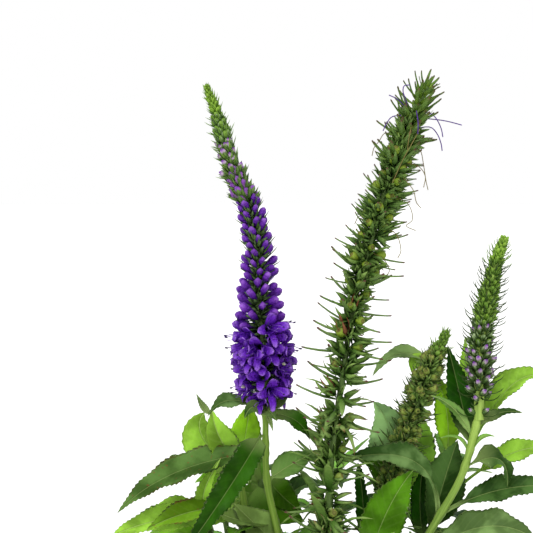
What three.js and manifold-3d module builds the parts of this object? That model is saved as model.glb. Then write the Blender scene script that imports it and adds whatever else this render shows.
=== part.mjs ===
// Spiked speedwell: a rooted clump of leafy stems, four of which end in a flower spike.
// Millimetres, +Z up. The origin is the middle of the flat cut at ground level, and -Y is the front.
import * as THREE from "three";
import { mergeVertices } from "three/addons/utils/BufferGeometryUtils.js";
import Module from "manifold-3d";

const wasm = await Module();
wasm.setup();

// ---------------------------------------------------------------- driving dimensions
const CLEAR = 0.3; // between two pieces that meet
const ROOTSTOCK = { foot: 17, waist: 13, height: 9.5, lobes: 7, lobeDepth: 0.12 };
const LEAF_THICKNESS = 0.9; // along the midrib, thinning to the edges
const LEAF_FOLD = 0.16; // how far the edges rise, as a share of the half width
const LEAF_SLIMNESS = 0.29; // width of a leaf that grows by rule, as a share of its length
const PETIOLE = 0.1; // width of the leaf's foot, as a share of its full width
const GOLDEN_TURN = 137.5; // degrees from one floret to the next
const TURNS_TRIED = [0, 6, -6, 12, -12, 18, -18]; // degrees, for a leaf that would touch a neighbour
const FINEST = 0.05; // facets smaller than this are merged where florets run into each other

const GREEN = { stem: 0x7f9a52, leaf: 0x3f6b34, seed: 0x47682f, root: 0x6d5a3e, bud: 0x4d7a38 };
const VIOLET = 0x5b2aa8;

// Which way the upper face of a leaf looks.
const UPWARD = [0, -0.3, 1];
const FRONT = [0, -1, 0.35];
const FRONT_UP = [0, -0.75, 0.75];
const FRONT_LEFT = [-0.7, -0.7, 0.3];

// path: points up the middle of the stem. thick: its radius at the foot and at the top.
// cuts: the heights where the bare bough ends, and where each mass of leaves ends.
// pairs: opposite leaves by rule, as [lowest height, highest height, number, first heading, length, rise,
// droop]; headings are 0 for +X and 90 for +Y.
// leaves: single leaves, as [height on the stem, width, middle of the midrib, tip, look, and the share of
// the length that is stalk].
const SHOOTS = {
  bud: {
    path: [[6.5, -2.5, 5], [17, -5, 30], [34, -6, 61.5], [44.5, -4, 80], [49.8, -3, 99]],
    thick: [2.3, 1.8],
    cuts: [24, 58, 80, 98.8],
    pairs: [[31, 50, 2, 300, 34, 30, 55]],
    leaves: [
      [52, 12, [50, -14, 65], [67.5, -18, 61], [-0.1, -0.6, 0.8], 0.12],
      [68, 7.4, [28.5, -6, 85], [4.5, -5, 84.5], FRONT_UP, 0.28],
      [68.4, 8.5, [56.5, -6, 75.5], [76, -8, 77], FRONT_UP, 0.2],
      [83, 4.6, [55.5, -5, 88], [59, -6, 76.5], UPWARD],
      [88, 1.9, [43, -4, 92], [37.5, -4, 92], UPWARD],
      [88, 1.9, [51, -4, 92], [55, -4, 92.5], UPWARD],
      [90.5, 6.6, [44.6, 1.5, 105], [40.5, 2, 121.5], FRONT_LEFT],
      [93, 2.8, [41.5, -4.5, 101.5], [34, -6, 106], FRONT_UP],
      [91, 8.6, [59.5, 3, 108.5], [72.5, 4, 114.5], FRONT_UP, 0.1],
      [96, 2.6, [56.5, -4, 100], [64, -4, 100], FRONT_UP],
    ],
  },
  seed: {
    path: [[0.8, -8.5, 5], [2, -11, 22], [1, -14, 40], [1, -15, 59]],
    thick: [2.2, 2],
    cuts: [18, 59],
    pairs: [[23, 50, 3, 20, 33, 32, 60]],
    leaves: [],
  },
  bloom: {
    path: [[-2.5, -3.5, 5], [-9, -6, 35], [-14.5, -8, 62], [-18, -8, 80], [-18.4, -8, 103]],
    thick: [2.1, 1.35],
    cuts: [22, 64, 102.8],
    pairs: [[29, 55, 3, 210, 34, 30, 60]],
    leaves: [
      [79, 8, [-11, -5, 83], [-0.5, -2, 88], FRONT_UP, 0.12],
      [79.4, 9, [-13.5, 0, 73], [-6, 4, 66], FRONT],
      [91, 11.8, [-27, -19, 80], [-41, -30, 64], [0.5, -0.75, 0.45]],
      [88, 9.6, [-46.5, -7, 81.5], [-65.5, -12, 69], FRONT_UP],
      [101, 5.8, [-29.5, -11, 105], [-38.5, -14, 101.6], FRONT_UP],
      [100.4, 7.4, [-9.5, -9, 100.5], [-3, -6, 90], [0.5, -0.5, 0.7]],
      [101.2, 6, [-14, -3, 105.5], [-10, 1, 108.5], FRONT_UP],
      [100, 1.6, [-17, -10.4, 98.5], [-16, -11, 95], FRONT],
    ],
  },
  short: {
    path: [[4.5, 2.5, 5], [9, 4, 30], [16, 4.5, 52], [20, 4, 70.5]],
    thick: [1.9, 1.5],
    cuts: [22, 70.2],
    pairs: [[28, 52, 3, 75, 32, 34, 55]],
    leaves: [
      [62, 8, [20.5, 9, 77], [11.5, 9, 82.5], FRONT],
    ],
  },
  left: {
    path: [[-7.5, -2.5, 5], [-13, -3, 30], [-23, -2, 52], [-25.5, 0, 71], [-27, 1, 88]],
    thick: [2, 1.2],
    cuts: [24, 87],
    pairs: [[30, 58, 3, 260, 36, 28, 62]],
    leaves: [
      [70, 8.4, [-41, -9, 69.5], [-55.5, -13, 64.5], UPWARD],
      [66, 10, [-50.5, -6, 64], [-68.5, -10, 58.5], FRONT_UP],
      [72, 5, [-35.5, 1, 78], [-33, 2, 85], FRONT],
      [80, 14, [-38.5, -1, 91], [-38, 0, 99.5], FRONT],
      [84, 10.4, [-33, 3.5, 92], [-35.5, 5, 101.5], FRONT],
      [84.6, 9, [-24.5, 3, 94], [-23.5, 4, 102.5], FRONT],
    ],
  },
  far_left: {
    path: [[-10.5, 2, 4], [-21, 3, 24], [-32, 3, 44], [-37, 3, 63]],
    thick: [1.8, 1.1],
    cuts: [20, 62.4],
    pairs: [[25, 44, 2, 120, 32, 24, 60]],
    leaves: [
      [59, 8, [-46, 4, 69.5], [-55, 5, 67], FRONT_UP],
      [56, 11, [-52, 10, 58], [-66, 14, 46], UPWARD],
      [61.6, 6, [-37, 12, 72], [-38, 20, 78], UPWARD],
      [52, 9, [-37, -8, 54], [-42, -20, 50], UPWARD],
    ],
  },
  behind_left: {
    path: [[-4, 3.5, 5], [-8, 8, 34], [-17, 12, 58], [-20, 12, 76]],
    thick: [2, 1.2],
    cuts: [24, 75.4],
    pairs: [[30, 48, 2, 100, 34, 26, 58]],
    leaves: [
      [74, 13, [-12, 9, 69.5], [-3, 7, 62], FRONT],
      [66, 9, [-25, 6, 64], [-31, 2, 56], FRONT],
      [70, 10, [-24, 24, 79], [-28, 38, 76], UPWARD],
      [74.4, 9, [-29, 14, 84], [-37, 15, 80], FRONT_UP],
      [60, 10, [-8, 16, 72], [4, 18, 72], UPWARD],
    ],
  },
  centre: {
    path: [[5.5, -8.5, 4], [9, -12, 22], [13, -14, 40], [13.5, -14, 58]],
    thick: [1.9, 1.3],
    cuts: [18, 57.4],
    pairs: [[23, 42, 2, 300, 34, 24, 66]],
    leaves: [
      [54, 12.6, [20.5, -14, 71], [28.5, -12, 83], FRONT],
      [55, 9, [20, -30, 60], [26, -42, 50], UPWARD],
      [56, 5, [12.5, -8, 75], [11, -6, 84.5], FRONT_LEFT],
    ],
  },
  behind: {
    path: [[3, 7, 5], [8, 10, 36], [18, 13, 64], [27, 13, 88], [31.5, 12, 105], [36, 12, 116]],
    thick: [2.1, 1.1],
    cuts: [26, 68, 115.4],
    pairs: [[32, 56, 3, 50, 34, 28, 58]],
    leaves: [
      [72, 15, [22.5, 10, 90], [14.5, 10, 99.5], FRONT],
      [71, 13, [31, 16, 84], [32, 17, 97.5], FRONT],
      [114.6, 7.8, [26.5, 12, 118.8], [16, 10, 109.5], FRONT_UP],
      [112, 6, [30.5, 13, 112], [28, 13, 105], FRONT],
      [86, 8, [24, 26, 97], [26, 40, 98], UPWARD],
      [98, 7, [36, 20, 108], [42, 30, 110], UPWARD],
    ],
  },
  behind_right: {
    path: [[10, 2, 4], [20, 4, 28], [32, 7, 50], [39, 8, 70], [41, 9.5, 84]],
    thick: [2, 1.2],
    cuts: [22, 83.4],
    pairs: [[29, 48, 2, 60, 34, 24, 60]],
    leaves: [
      [56, 11, [35, 2, 77.5], [44.5, 4, 90], FRONT_LEFT, 0.15],
      [54, 7, [31.5, 0, 71], [33, 1, 83], FRONT_LEFT],
      [69, 8, [57.5, 4, 84], [75, 3, 88], FRONT_UP, 0.34],
      [70, 9, [44, 22, 80], [50, 36, 80], UPWARD],
      [82, 6, [40.5, 10, 98], [40, 11, 116], FRONT, 0.25],
      [81, 4.6, [46, 11, 106], [46.5, 11, 123], FRONT, 0.2],
      [80, 8, [40, 22, 92], [34, 34, 92], UPWARD],
    ],
  },
  back_left: {
    path: [[-7.5, 7.5, 4], [-17, 16, 28], [-30, 28, 50], [-33, 32, 74]],
    thick: [1.9, 1.1],
    cuts: [20, 73.4],
    pairs: [[27, 70, 5, 150, 38, 30, 66], [72.6, 72.6, 1, 70, 20, 58, 20]],
    leaves: [],
  },
  back: {
    path: [[-2, 9.5, 4], [-1, 20, 30], [3, 32, 50], [4, 37, 72]],
    thick: [1.9, 1.1],
    cuts: [20, 71.4],
    pairs: [[28, 68, 5, 95, 38, 30, 66], [70.6, 70.6, 1, 20, 20, 58, 20]],
    leaves: [],
  },
  back_right: {
    path: [[8.5, 7, 4], [18, 16, 28], [31, 29, 48], [37, 35, 70]],
    thick: [1.9, 1.1],
    cuts: [20, 69.4],
    pairs: [[27, 66, 5, 35, 38, 30, 66], [68.6, 68.6, 1, 120, 19, 58, 20]],
    leaves: [],
  },
  front_left: {
    path: [[-6.5, -8, 4], [-13, -17, 20], [-21, -26, 32], [-24, -30, 46]],
    thick: [1.7, 1.1],
    cuts: [16, 45.4],
    pairs: [[21, 42, 3, 235, 32, 24, 70], [44.8, 44.8, 1, 130, 17, 54, 20]],
    leaves: [],
  },
  front_right: {
    path: [[9.5, -6.5, 4], [18, -16, 20], [28, -27, 32], [32, -31, 44]],
    thick: [1.7, 1.1],
    cuts: [16, 43.4],
    pairs: [[21, 40, 3, 310, 32, 24, 70], [42.8, 42.8, 1, 40, 17, 54, 20]],
    leaves: [],
  },
};
const MASS_LABELS = [[""], ["_low", "_top"], ["_low", "_middle", "_top"]];

// path: points up the axis. The rest are rows of [share of its length, value], read in between:
// core: radius of the axis. reach: how far the florets stand out from the axis.
// gap: from one floret to the next, along the axis. bract: length of the pointed bract under each floret.
// lift and bractLift: degrees that florets and bracts point up from square to the axis.
const SPIKES = {
  bloom: {
    path: [
      [-18.5, -8, 103.5], [-19, -8, 117.5], [-20.5, -8, 136.5], [-21, -8, 152.5], [-23.5, -7, 165.5],
      [-29, -7, 179], [-33, -6, 193], [-37, -6, 204],
    ],
    core: [[0, 1.5], [0.25, 1.8], [0.6, 2], [0.9, 1.2], [1, 0.8]],
    reach: [
      [0, 8], [0.06, 9.2], [0.24, 9.2], [0.3, 7.2], [0.37, 6.8], [0.43, 5.2], [0.56, 4.7], [0.68, 3.9],
      [0.78, 3.1], [0.93, 2.3], [1, 1.3],
    ],
    gap: [[0, 1.2], [0.26, 1.2], [0.3, 1.5], [1, 1.15]],
    lift: [[0, -22], [0.26, 10], [0.27, 26], [1, 52]],
    openTo: 0.25,
    colour: VIOLET,
  },
  seed: {
    path: [
      [1, -15, 59.5], [1.5, -15, 74.5], [3, -15, 94], [5.5, -15, 110.5], [8, -15, 128], [12, -14, 147],
      [18, -13, 167], [24.5, -12, 185.5], [29.5, -12, 200], [34, -12, 206],
    ],
    core: [[0, 1.9], [0.3, 2], [0.5, 2.4], [0.85, 2.4], [1, 1]],
    reach: [[0, 6.4], [0.6, 6.8], [0.85, 6.4], [1, 3]],
    gap: [[0, 3.1], [0.5, 2.8], [1, 2]],
    bract: [[0, 14.4], [0.55, 14], [0.7, 11], [0.85, 9], [1, 6]],
    lift: [[0, 30], [0.7, 40], [1, 64]],
    bractLift: [[0, 2], [0.5, 8], [0.75, 30], [1, 62]],
    colour: GREEN.seed,
  },
  short: {
    path: [[20, 4, 71], [23, 4, 82], [27.5, 4, 92], [30.5, 4, 103], [34.5, 4, 113], [40, 4, 125]],
    core: [[0, 2.6], [0.5, 2.7], [0.8, 1.8], [1, 1.2]],
    reach: [[0, 4.7], [0.5, 4.9], [0.7, 4.2], [0.88, 2.8], [1, 2]],
    gap: [[0, 1.5], [1, 1.2]],
    lift: [[0, 24], [1, 56]],
    colour: GREEN.seed,
  },
  bud: {
    path: [[50, -3, 99.3], [50, -3, 117], [51, -3, 128], [53.5, -2, 141], [55.5, -2, 149.5], [58, -2, 156]],
    core: [[0, 2.1], [0.2, 2.8], [0.5, 2.7], [0.8, 1.8], [1, 0.9]],
    reach: [[0, 4.2], [0.22, 5.1], [0.42, 5], [0.58, 4.5], [0.75, 3.5], [0.9, 2.3], [1, 1.4]],
    gap: [[0, 1.5], [1, 1.2]],
    bract: [[0, 6.4], [0.3, 7.6], [0.6, 6.6], [0.85, 4.4], [1, 2.4]],
    lift: [[0, 26], [1, 58]],
    bractLift: [[0, 30], [1, 60]],
    colour: GREEN.bud,
  },
};

// ---------------------------------------------------------------- curves
const UP = new THREE.Vector3(0, 0, 1);
const vector = (p) => new THREE.Vector3(...p);
const radians = THREE.MathUtils.degToRad;
const curveOf = (path) => new THREE.CatmullRomCurve3(path.map(vector), false, "catmullrom", 0.5);
const headingOf = (degrees) => new THREE.Vector3(Math.cos(radians(degrees)), Math.sin(radians(degrees)), 0);

// The value at a share of the way, read between rows of [share, value].
function between(rows, share) {
  const next = rows.findIndex(([s]) => s >= share);
  if (next <= 0) return next === 0 ? rows[0][1] : rows.at(-1)[1];
  const [s0, v0] = rows[next - 1];
  const [s1, v1] = rows[next];
  return v0 + ((v1 - v0) * (share - s0)) / (s1 - s0);
}

// Where a rising curve reaches a height.
function shareAtHeight(curve, height) {
  let [low, high] = [0, 1];
  for (let i = 0; i < 30; i++) {
    const middle = (low + high) / 2;
    if (curve.getPoint(middle).z < height) low = middle;
    else high = middle;
  }
  return (low + high) / 2;
}

// Directions at a point of a curve: along it, and two across it, the first nearest to the front.
function frameAt(curve, t) {
  const along = curve.getTangent(t).normalize();
  const front = new THREE.Vector3(0, -1, 0).addScaledVector(along, along.y).normalize();
  return { point: curve.getPoint(t), along, front, side: along.clone().cross(front) };
}

// ---------------------------------------------------------------- solids
function solidOf(geometry) {
  const bare = geometry.clone();
  bare.deleteAttribute("normal");
  bare.deleteAttribute("uv");
  const merged = mergeVertices(bare, 1e-4);
  const positions = merged.attributes.position.array;
  const triVerts = new Uint32Array(merged.index.array);
  return new wasm.Manifold(new wasm.Mesh({ numProp: 3, vertProperties: positions, triVerts }));
}

// Bends an upright cylinder or cone of radius and height 1. pointAt gets the share of the height, and two
// cosines for the direction round the axis, which are both 0 on the axis.
function bent(geometry, pointAt) {
  const position = geometry.attributes.position;
  for (let i = 0; i < position.count; i++) {
    const [x, y, z] = [position.getX(i), position.getY(i), position.getZ(i)];
    const r = Math.hypot(x, z);
    const point = r > 1e-6 ? pointAt(y + 0.5, x / r, z / r) : pointAt(y + 0.5, 0, 0);
    position.setXYZ(i, point.x, point.y, point.z);
  }
  return solidOf(geometry);
}

// A tapering limb along a stretch of a curve.
function limb(curve, from, to, radiusAt, sides, steps) {
  return bent(new THREE.CylinderGeometry(1, 1, 1, sides, steps), (share, across, through) => {
    const t = from + (to - from) * share;
    const { point, front, side } = frameAt(curve, t);
    const r = radiusAt(t);
    return point.addScaledVector(side, across * r).addScaledVector(front, through * r);
  });
}

// The rootstock: a lathed stub whose foot flares out in blunt lobes.
function rootstock(extra) {
  const { foot, waist, height, lobes, lobeDepth } = ROOTSTOCK;
  const profile = [[0, 0], [foot, 0], [waist + 1.4, height * 0.26], [waist, height * 0.55]];
  profile.push([waist * 0.74, height * 0.85], [0, height]);
  const grown = profile.map(([r, z], i) => new THREE.Vector2(r && r + extra, i > 1 ? z + extra : z));
  const turned = new THREE.LatheGeometry(grown, 28).rotateX(Math.PI / 2);
  const position = turned.attributes.position;
  for (let i = 0; i < position.count; i++) {
    const [x, y, z] = [position.getX(i), position.getY(i), position.getZ(i)];
    const low = Math.max(0, 1 - z / (height * 0.6));
    const swell = 1 + lobeDepth * low * Math.cos(lobes * Math.atan2(y, x));
    position.setXY(i, x * swell, y * swell);
  }
  return solidOf(turned);
}

// ---------------------------------------------------------------- leaves
// Half the width of a leaf along its length, as a share of its greatest half width.
const bladeHalf = (t) => PETIOLE * (1 - t) + Math.sin(Math.PI * t ** 0.8) ** 1.1;

// A leaf as a closed blade with four corners all along: its two edges, and its midrib above and below.
// Its first ring closes the stalk, where it has one.
function leafBlade({ foot, middle, tip, width, look, stalk }, extra) {
  const bow = middle.clone().multiplyScalar(2).addScaledVector(foot, -0.5).addScaledVector(tip, -0.5);
  const midrib = new THREE.QuadraticBezierCurve3(foot, bow, tip);
  const steps = foot.distanceTo(tip) > 18 ? 4 : 3;
  const rings = stalk ? steps + 1 : steps;
  return bent(new THREE.ConeGeometry(1, 1, 4, rings), (share, across, through) => {
    const blade = stalk ? (share * rings - 1) / steps : share;
    const t = blade < 0 ? 0 : stalk + (1 - stalk) * blade;
    const along = midrib.getTangent(t);
    const side = along.clone().cross(look).normalize();
    const face = side.clone().cross(along);
    const half = (width / 2) * bladeHalf(Math.max(0, blade)) + extra;
    const thick = (LEAF_THICKNESS / 2) * (1 - 0.5 * t) + extra;
    const lift = through * thick + Math.abs(across) * half * LEAF_FOLD;
    return midrib.getPoint(t).addScaledVector(side, across * half).addScaledVector(face, lift);
  });
}

// Opposite pairs by rule: each pair stands square to the one below, and the leaves shorten upwards.
// A leaf starts at its rise above level and droops evenly along its length.
function pairedLeaves(shoot, [lowest, highest, number, heading, length, rise, droop]) {
  const leaves = [];
  for (let i = 0; i < number; i++) {
    const share = number > 1 ? i / (number - 1) : 0;
    const height = lowest + (highest - lowest) * share;
    const long = length * (1 - 0.22 * share);
    for (const turned of [0, 180]) {
      const out = headingOf(heading + 90 * i + turned);
      const foot = footOf(shoot, height, out);
      const at = (t) => {
        const angle = radians(rise + 14 * share - (droop * t) / 2);
        const run = out.clone().multiplyScalar(Math.cos(angle) * long * t);
        return foot.clone().add(run).addScaledVector(UP, Math.sin(angle) * long * t);
      };
      const look = UP.clone().addScaledVector(out, 0.3);
      leaves.push({ height, foot, middle: at(0.5), tip: at(1), width: long * LEAF_SLIMNESS, look, stalk: 0 });
    }
  }
  return leaves;
}

function singleLeaf(shoot, [height, width, middle, tip, look, stalk = 0]) {
  const out = vector(middle).sub(footOf(shoot, height, new THREE.Vector3())).setZ(0).normalize();
  const foot = footOf(shoot, height, out);
  return { height, foot, middle: vector(middle), tip: vector(tip), width, look: vector(look), stalk };
}

// A leaf springs from half way out of its stem.
function footOf({ path, thick }, height, out) {
  const curve = curveOf(path);
  const t = shareAtHeight(curve, height);
  return curve.getPoint(t).addScaledVector(out, (thick[0] + (thick[1] - thick[0]) * t) / 2);
}

// A leaf turned about the upright through its foot.
function turnedLeaf(leaf, degrees) {
  const turn = (point) => point.clone().sub(leaf.foot).applyAxisAngle(UP, radians(degrees)).add(leaf.foot);
  return { ...leaf, middle: turn(leaf.middle), tip: turn(leaf.tip) };
}

// ---------------------------------------------------------------- florets
// Every floret of a spike, lowest first, with the directions it needs: where it springs from the axis, out
// from the axis, and across.
function floretsOf({ path, gap }) {
  const curve = curveOf(path);
  const length = curve.getLength();
  const florets = [];
  for (let up = 0.8, i = 0; up < length - 1; i++) {
    const share = up / length;
    const { point, along, front, side } = frameAt(curve, curve.getUtoTmapping(share));
    const turn = radians(i * GOLDEN_TURN);
    const out = front.multiplyScalar(Math.cos(turn)).addScaledVector(side, Math.sin(turn));
    florets.push({ share, point, along, out, across: along.clone().cross(out) });
    up += between(gap, share);
  }
  return florets;
}

// A shape on a floret's place, pointing out and up by lift; size gives [length along, half width] at t.
function onFloret(geometry, { point, along, out, across }, lift, sizeAt) {
  const axis = out.clone().multiplyScalar(Math.cos(lift)).addScaledVector(along, Math.sin(lift));
  const over = across.clone().cross(axis);
  return bent(geometry, (t, sideways, upright) => {
    const [reach, half] = sizeAt(t, sideways, upright);
    const place = point.clone().addScaledVector(axis, reach);
    return place.addScaledVector(across, sideways * half).addScaledVector(over, upright * half);
  });
}

// A bud, calyx or capsule: fattest part way out.
function plumpBud(floret, lift, length) {
  const half = length * 0.29 + 0.2;
  const sizeAt = (t) => [length * t, half * Math.sin(Math.PI * (0.2 + 0.8 * t))];
  return onFloret(new THREE.ConeGeometry(1, 1, 3, 2), floret, lift, sizeAt);
}

function pointedBract(floret, lift, length, half) {
  return onFloret(new THREE.ConeGeometry(1, 1, 3, 1), floret, lift, (t) => [length * t, half * (1 - t)]);
}

// An open flower: a short tube that flares into four lobes.
function openFlower(floret, lift, length) {
  const sizeAt = (t, sideways, upright) => {
    const sunk = sideways || upright ? 1 : 0.8;
    return [length * t * sunk, t < 0.5 ? 0.6 : 3.8];
  };
  return onFloret(new THREE.CylinderGeometry(1, 1, 1, 4, 1), floret, lift, sizeAt);
}

function floretSolids(spike, floret) {
  const { share } = floret;
  const reach = between(spike.reach, share);
  const lift = radians(between(spike.lift, share));
  const solids = [];
  if (spike.bract) {
    const bractLift = radians(between(spike.bractLift, share));
    const length = between(spike.bract, share);
    solids.push(pointedBract(floret, bractLift, length, 0.45 + 0.04 * length));
  }
  if (share < (spike.openTo ?? 0)) solids.push(openFlower(floret, lift, reach));
  else solids.push(plumpBud(floret, lift, reach / Math.cos(lift)));
  return solids;
}

// ---------------------------------------------------------------- assembly
const plant = new THREE.Group();
const placed = []; // every solid so far, so that nothing is grown into a neighbour
const entryOf = (name, solid) => ({ name, solid, box: solid.boundingBox() });
const boxesMeet = (a, b) => [0, 1, 2].every((i) => a.min[i] < b.max[i] && b.min[i] < a.max[i]);

function touches(solid, neighbours) {
  const box = solid.boundingBox();
  return neighbours.some((other) => boxesMeet(box, other.box) && !solid.intersect(other.solid).isEmpty());
}

function addNode(name, solid, colour, roughness) {
  const body = solid.decompose().reduce((a, b) => (b.volume() > a.volume() ? b : a));
  const { numProp, vertProperties, triVerts, numVert } = body.getMesh();
  const points = new Float32Array(numVert * 3);
  for (let i = 0; i < numVert; i++) points.set(vertProperties.subarray(i * numProp, i * numProp + 3), i * 3);
  const geometry = new THREE.BufferGeometry();
  geometry.setAttribute("position", new THREE.BufferAttribute(points, 3));
  geometry.setIndex(new THREE.BufferAttribute(triVerts, 1));
  const mesh = new THREE.Mesh(geometry, new THREE.MeshStandardMaterial({ color: colour, roughness }));
  mesh.name = name;
  plant.add(mesh);
  placed.push(entryOf(name, body));
}

function stemPiece({ path, thick }, from, to, sides) {
  const curve = curveOf(path);
  const radiusAt = (t) => thick[0] + (thick[1] - thick[0]) * t;
  const steps = Math.max(2, Math.round((to - from) / 9));
  return limb(curve, shareAtHeight(curve, from), shareAtHeight(curve, to), radiusAt, sides, steps);
}

// Stems and spike axes whose pieces come later are kept free of what is grown before them.
const kept = new Map();
for (const [name, shoot] of Object.entries(SHOOTS)) {
  kept.set(`leaves_${name}`, entryOf("stem", stemPiece(shoot, shoot.cuts[0], shoot.cuts.at(-1), 6)));
}
for (const [name, spike] of Object.entries(SPIKES)) {
  const radiusAt = (t) => between(spike.core, t) + CLEAR;
  kept.set(`spike_${name}`, entryOf("axis", limb(curveOf(spike.path), 0, 1, radiusAt, 6, 12)));
}

// A mass: its stretch of stem and every leaf that stays clear of the neighbours, turned a little if need be.
function leafMass(name, shoot, leaves, [from, to], rest) {
  const parts = [stemPiece(shoot, from + CLEAR / 2, to - CLEAR / 2, 6)];
  const neighbours = [...placed, ...kept.values(), ...rest];
  for (const leaf of leaves.filter(({ height }) => height >= from && height < to)) {
    const clear = (degrees) => !touches(leafBlade(turnedLeaf(leaf, degrees), CLEAR), neighbours);
    const turn = TURNS_TRIED.find(clear);
    if (turn !== undefined) parts.push(leafBlade(turnedLeaf(leaf, turn), 0));
  }
  addNode(name, wasm.Manifold.union(parts).simplify(FINEST), GREEN.leaf, 0.55);
}

function growLeaves(name) {
  const shoot = SHOOTS[name];
  kept.delete(`leaves_${name}`);
  const leaves = [];
  for (const pairs of shoot.pairs) leaves.push(...pairedLeaves(shoot, pairs));
  for (const row of shoot.leaves) leaves.push(singleLeaf(shoot, row));
  const spans = shoot.cuts.slice(1).map((top, i) => [shoot.cuts[i], top]);
  const stems = spans.map(([from, to]) => entryOf("stem", stemPiece(shoot, from, to, 6)));
  spans.forEach((span, i) => {
    const label = `leaves_${name}${MASS_LABELS[spans.length - 1][i]}`;
    leafMass(label, shoot, leaves, span, stems.filter((_, j) => j !== i));
  });
}

function growSpike(name) {
  const spike = SPIKES[name];
  kept.delete(`spike_${name}`);
  const neighbours = [...placed, ...kept.values()];
  const parts = [limb(curveOf(spike.path), 0, 1, (t) => between(spike.core, t), 6, 12)];
  for (const floret of floretsOf(spike)) {
    parts.push(...floretSolids(spike, floret).filter((solid) => !touches(solid, neighbours)));
  }
  addNode(`spike_${name}`, wasm.Manifold.union(parts).simplify(FINEST), spike.colour, 0.6);
}

addNode("rootstock", rootstock(0), GREEN.root, 0.9);
const aroundRootstock = rootstock(CLEAR);
for (const [name, shoot] of Object.entries(SHOOTS)) {
  const bough = stemPiece(shoot, shoot.path[0][2], shoot.cuts[0] - CLEAR / 2, 6);
  addNode(`stem_${name}`, bough.subtract(aroundRootstock), GREEN.stem, 0.6);
}

// The leaves right under the flowers come first, then the spikes, then the leaves that fill in round them.
const first = ["bud", "bloom"];
for (const name of first) growLeaves(name);
for (const name of Object.keys(SPIKES)) growSpike(name);
for (const name of Object.keys(SHOOTS)) if (!first.includes(name)) growLeaves(name);

export default plant;
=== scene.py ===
# %% [markdown]
# # A clump of spiked speedwell
# Spiked speedwell is a garden perennial. Firm green stems rise from a woody rootstock, narrow toothed
# leaves stand on them in opposite pairs, and some of the stems end in a long spike. Here one spike is in
# violet bloom, two have gone to seed and one is still in bud. The sizes are in millimetres, as in the
# solid model, and are turned into metres where a mesh is made.

import math

import bpy
import numpy as np
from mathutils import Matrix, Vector
from mathutils.bvhtree import BVHTree


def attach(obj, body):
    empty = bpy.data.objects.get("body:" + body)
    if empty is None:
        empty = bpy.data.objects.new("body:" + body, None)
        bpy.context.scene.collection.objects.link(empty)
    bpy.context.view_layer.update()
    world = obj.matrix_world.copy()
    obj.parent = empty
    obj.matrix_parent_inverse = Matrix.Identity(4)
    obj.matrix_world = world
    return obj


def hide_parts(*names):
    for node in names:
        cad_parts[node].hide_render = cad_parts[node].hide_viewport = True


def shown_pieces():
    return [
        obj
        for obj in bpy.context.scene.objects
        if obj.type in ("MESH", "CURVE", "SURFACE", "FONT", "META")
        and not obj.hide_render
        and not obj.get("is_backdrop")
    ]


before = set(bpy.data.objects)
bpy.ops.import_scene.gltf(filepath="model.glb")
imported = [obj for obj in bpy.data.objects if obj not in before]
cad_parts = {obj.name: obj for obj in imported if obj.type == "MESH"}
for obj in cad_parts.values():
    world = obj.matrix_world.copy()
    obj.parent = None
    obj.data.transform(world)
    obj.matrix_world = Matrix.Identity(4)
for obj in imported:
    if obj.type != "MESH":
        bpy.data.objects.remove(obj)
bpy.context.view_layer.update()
MM = 0.001

# %% [markdown]
# ## Camera, floor and light
# The plant is seen from the front, a little from above, through a long lens, so that the spikes stay
# upright. The light is that of a white studio: an even sky, and one broad soft lamp that gives the leaves
# their form. The floor is plain and pale.

# %% Camera
AIM = Vector((-18.08, 0.0, 146.7))
STAND_OFF = 700.0
TILT = math.radians(4)
VIEW_WIDTH = 170.56  # across the square picture at the aim
SENSOR = 36.0

camera = bpy.data.objects.new("camera", bpy.data.cameras.new("camera"))
camera.data.sensor_fit = "HORIZONTAL"
camera.data.sensor_width = SENSOR
camera.data.lens = SENSOR * STAND_OFF / VIEW_WIDTH
camera.data.clip_start = 0.01
camera.location = (AIM + STAND_OFF * Vector((0, -math.cos(TILT), math.sin(TILT)))) * MM
camera.rotation_euler = (math.pi / 2 - TILT, 0, 0)
bpy.context.scene.collection.objects.link(camera)
bpy.context.scene.camera = camera
print("lens in mm:", round(camera.data.lens, 1))

# %% Light
bpy.context.scene.view_settings.view_transform = "Standard"
world = bpy.data.worlds.new("studio")
bpy.context.scene.world = world
world.use_nodes = True
world.node_tree.nodes["Background"].inputs["Color"].default_value = (1, 1, 1, 1)
world.node_tree.nodes["Background"].inputs["Strength"].default_value = 1.0


def soft_lamp(name, heading, height, strength, spread):
    """A distant lamp that shines from a heading and a height in degrees, soft by its spread."""
    lamp = bpy.data.objects.new(name, bpy.data.lights.new(name, "SUN"))
    lamp.data.energy = strength
    lamp.data.angle = math.radians(spread)
    lamp.rotation_euler = (math.radians(90 - height), 0, math.radians(heading))
    bpy.context.scene.collection.objects.link(lamp)


soft_lamp("key", heading=-24, height=58, strength=1.5, spread=32)
print("lamps:", len(bpy.data.lights))

# %% Nodes written as sums
# One class wraps an output of a node, so that maths between nodes reads as Python does, and another
# wraps a tree and adds any other node to it. Both serve for finishes and for geometry.


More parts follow.
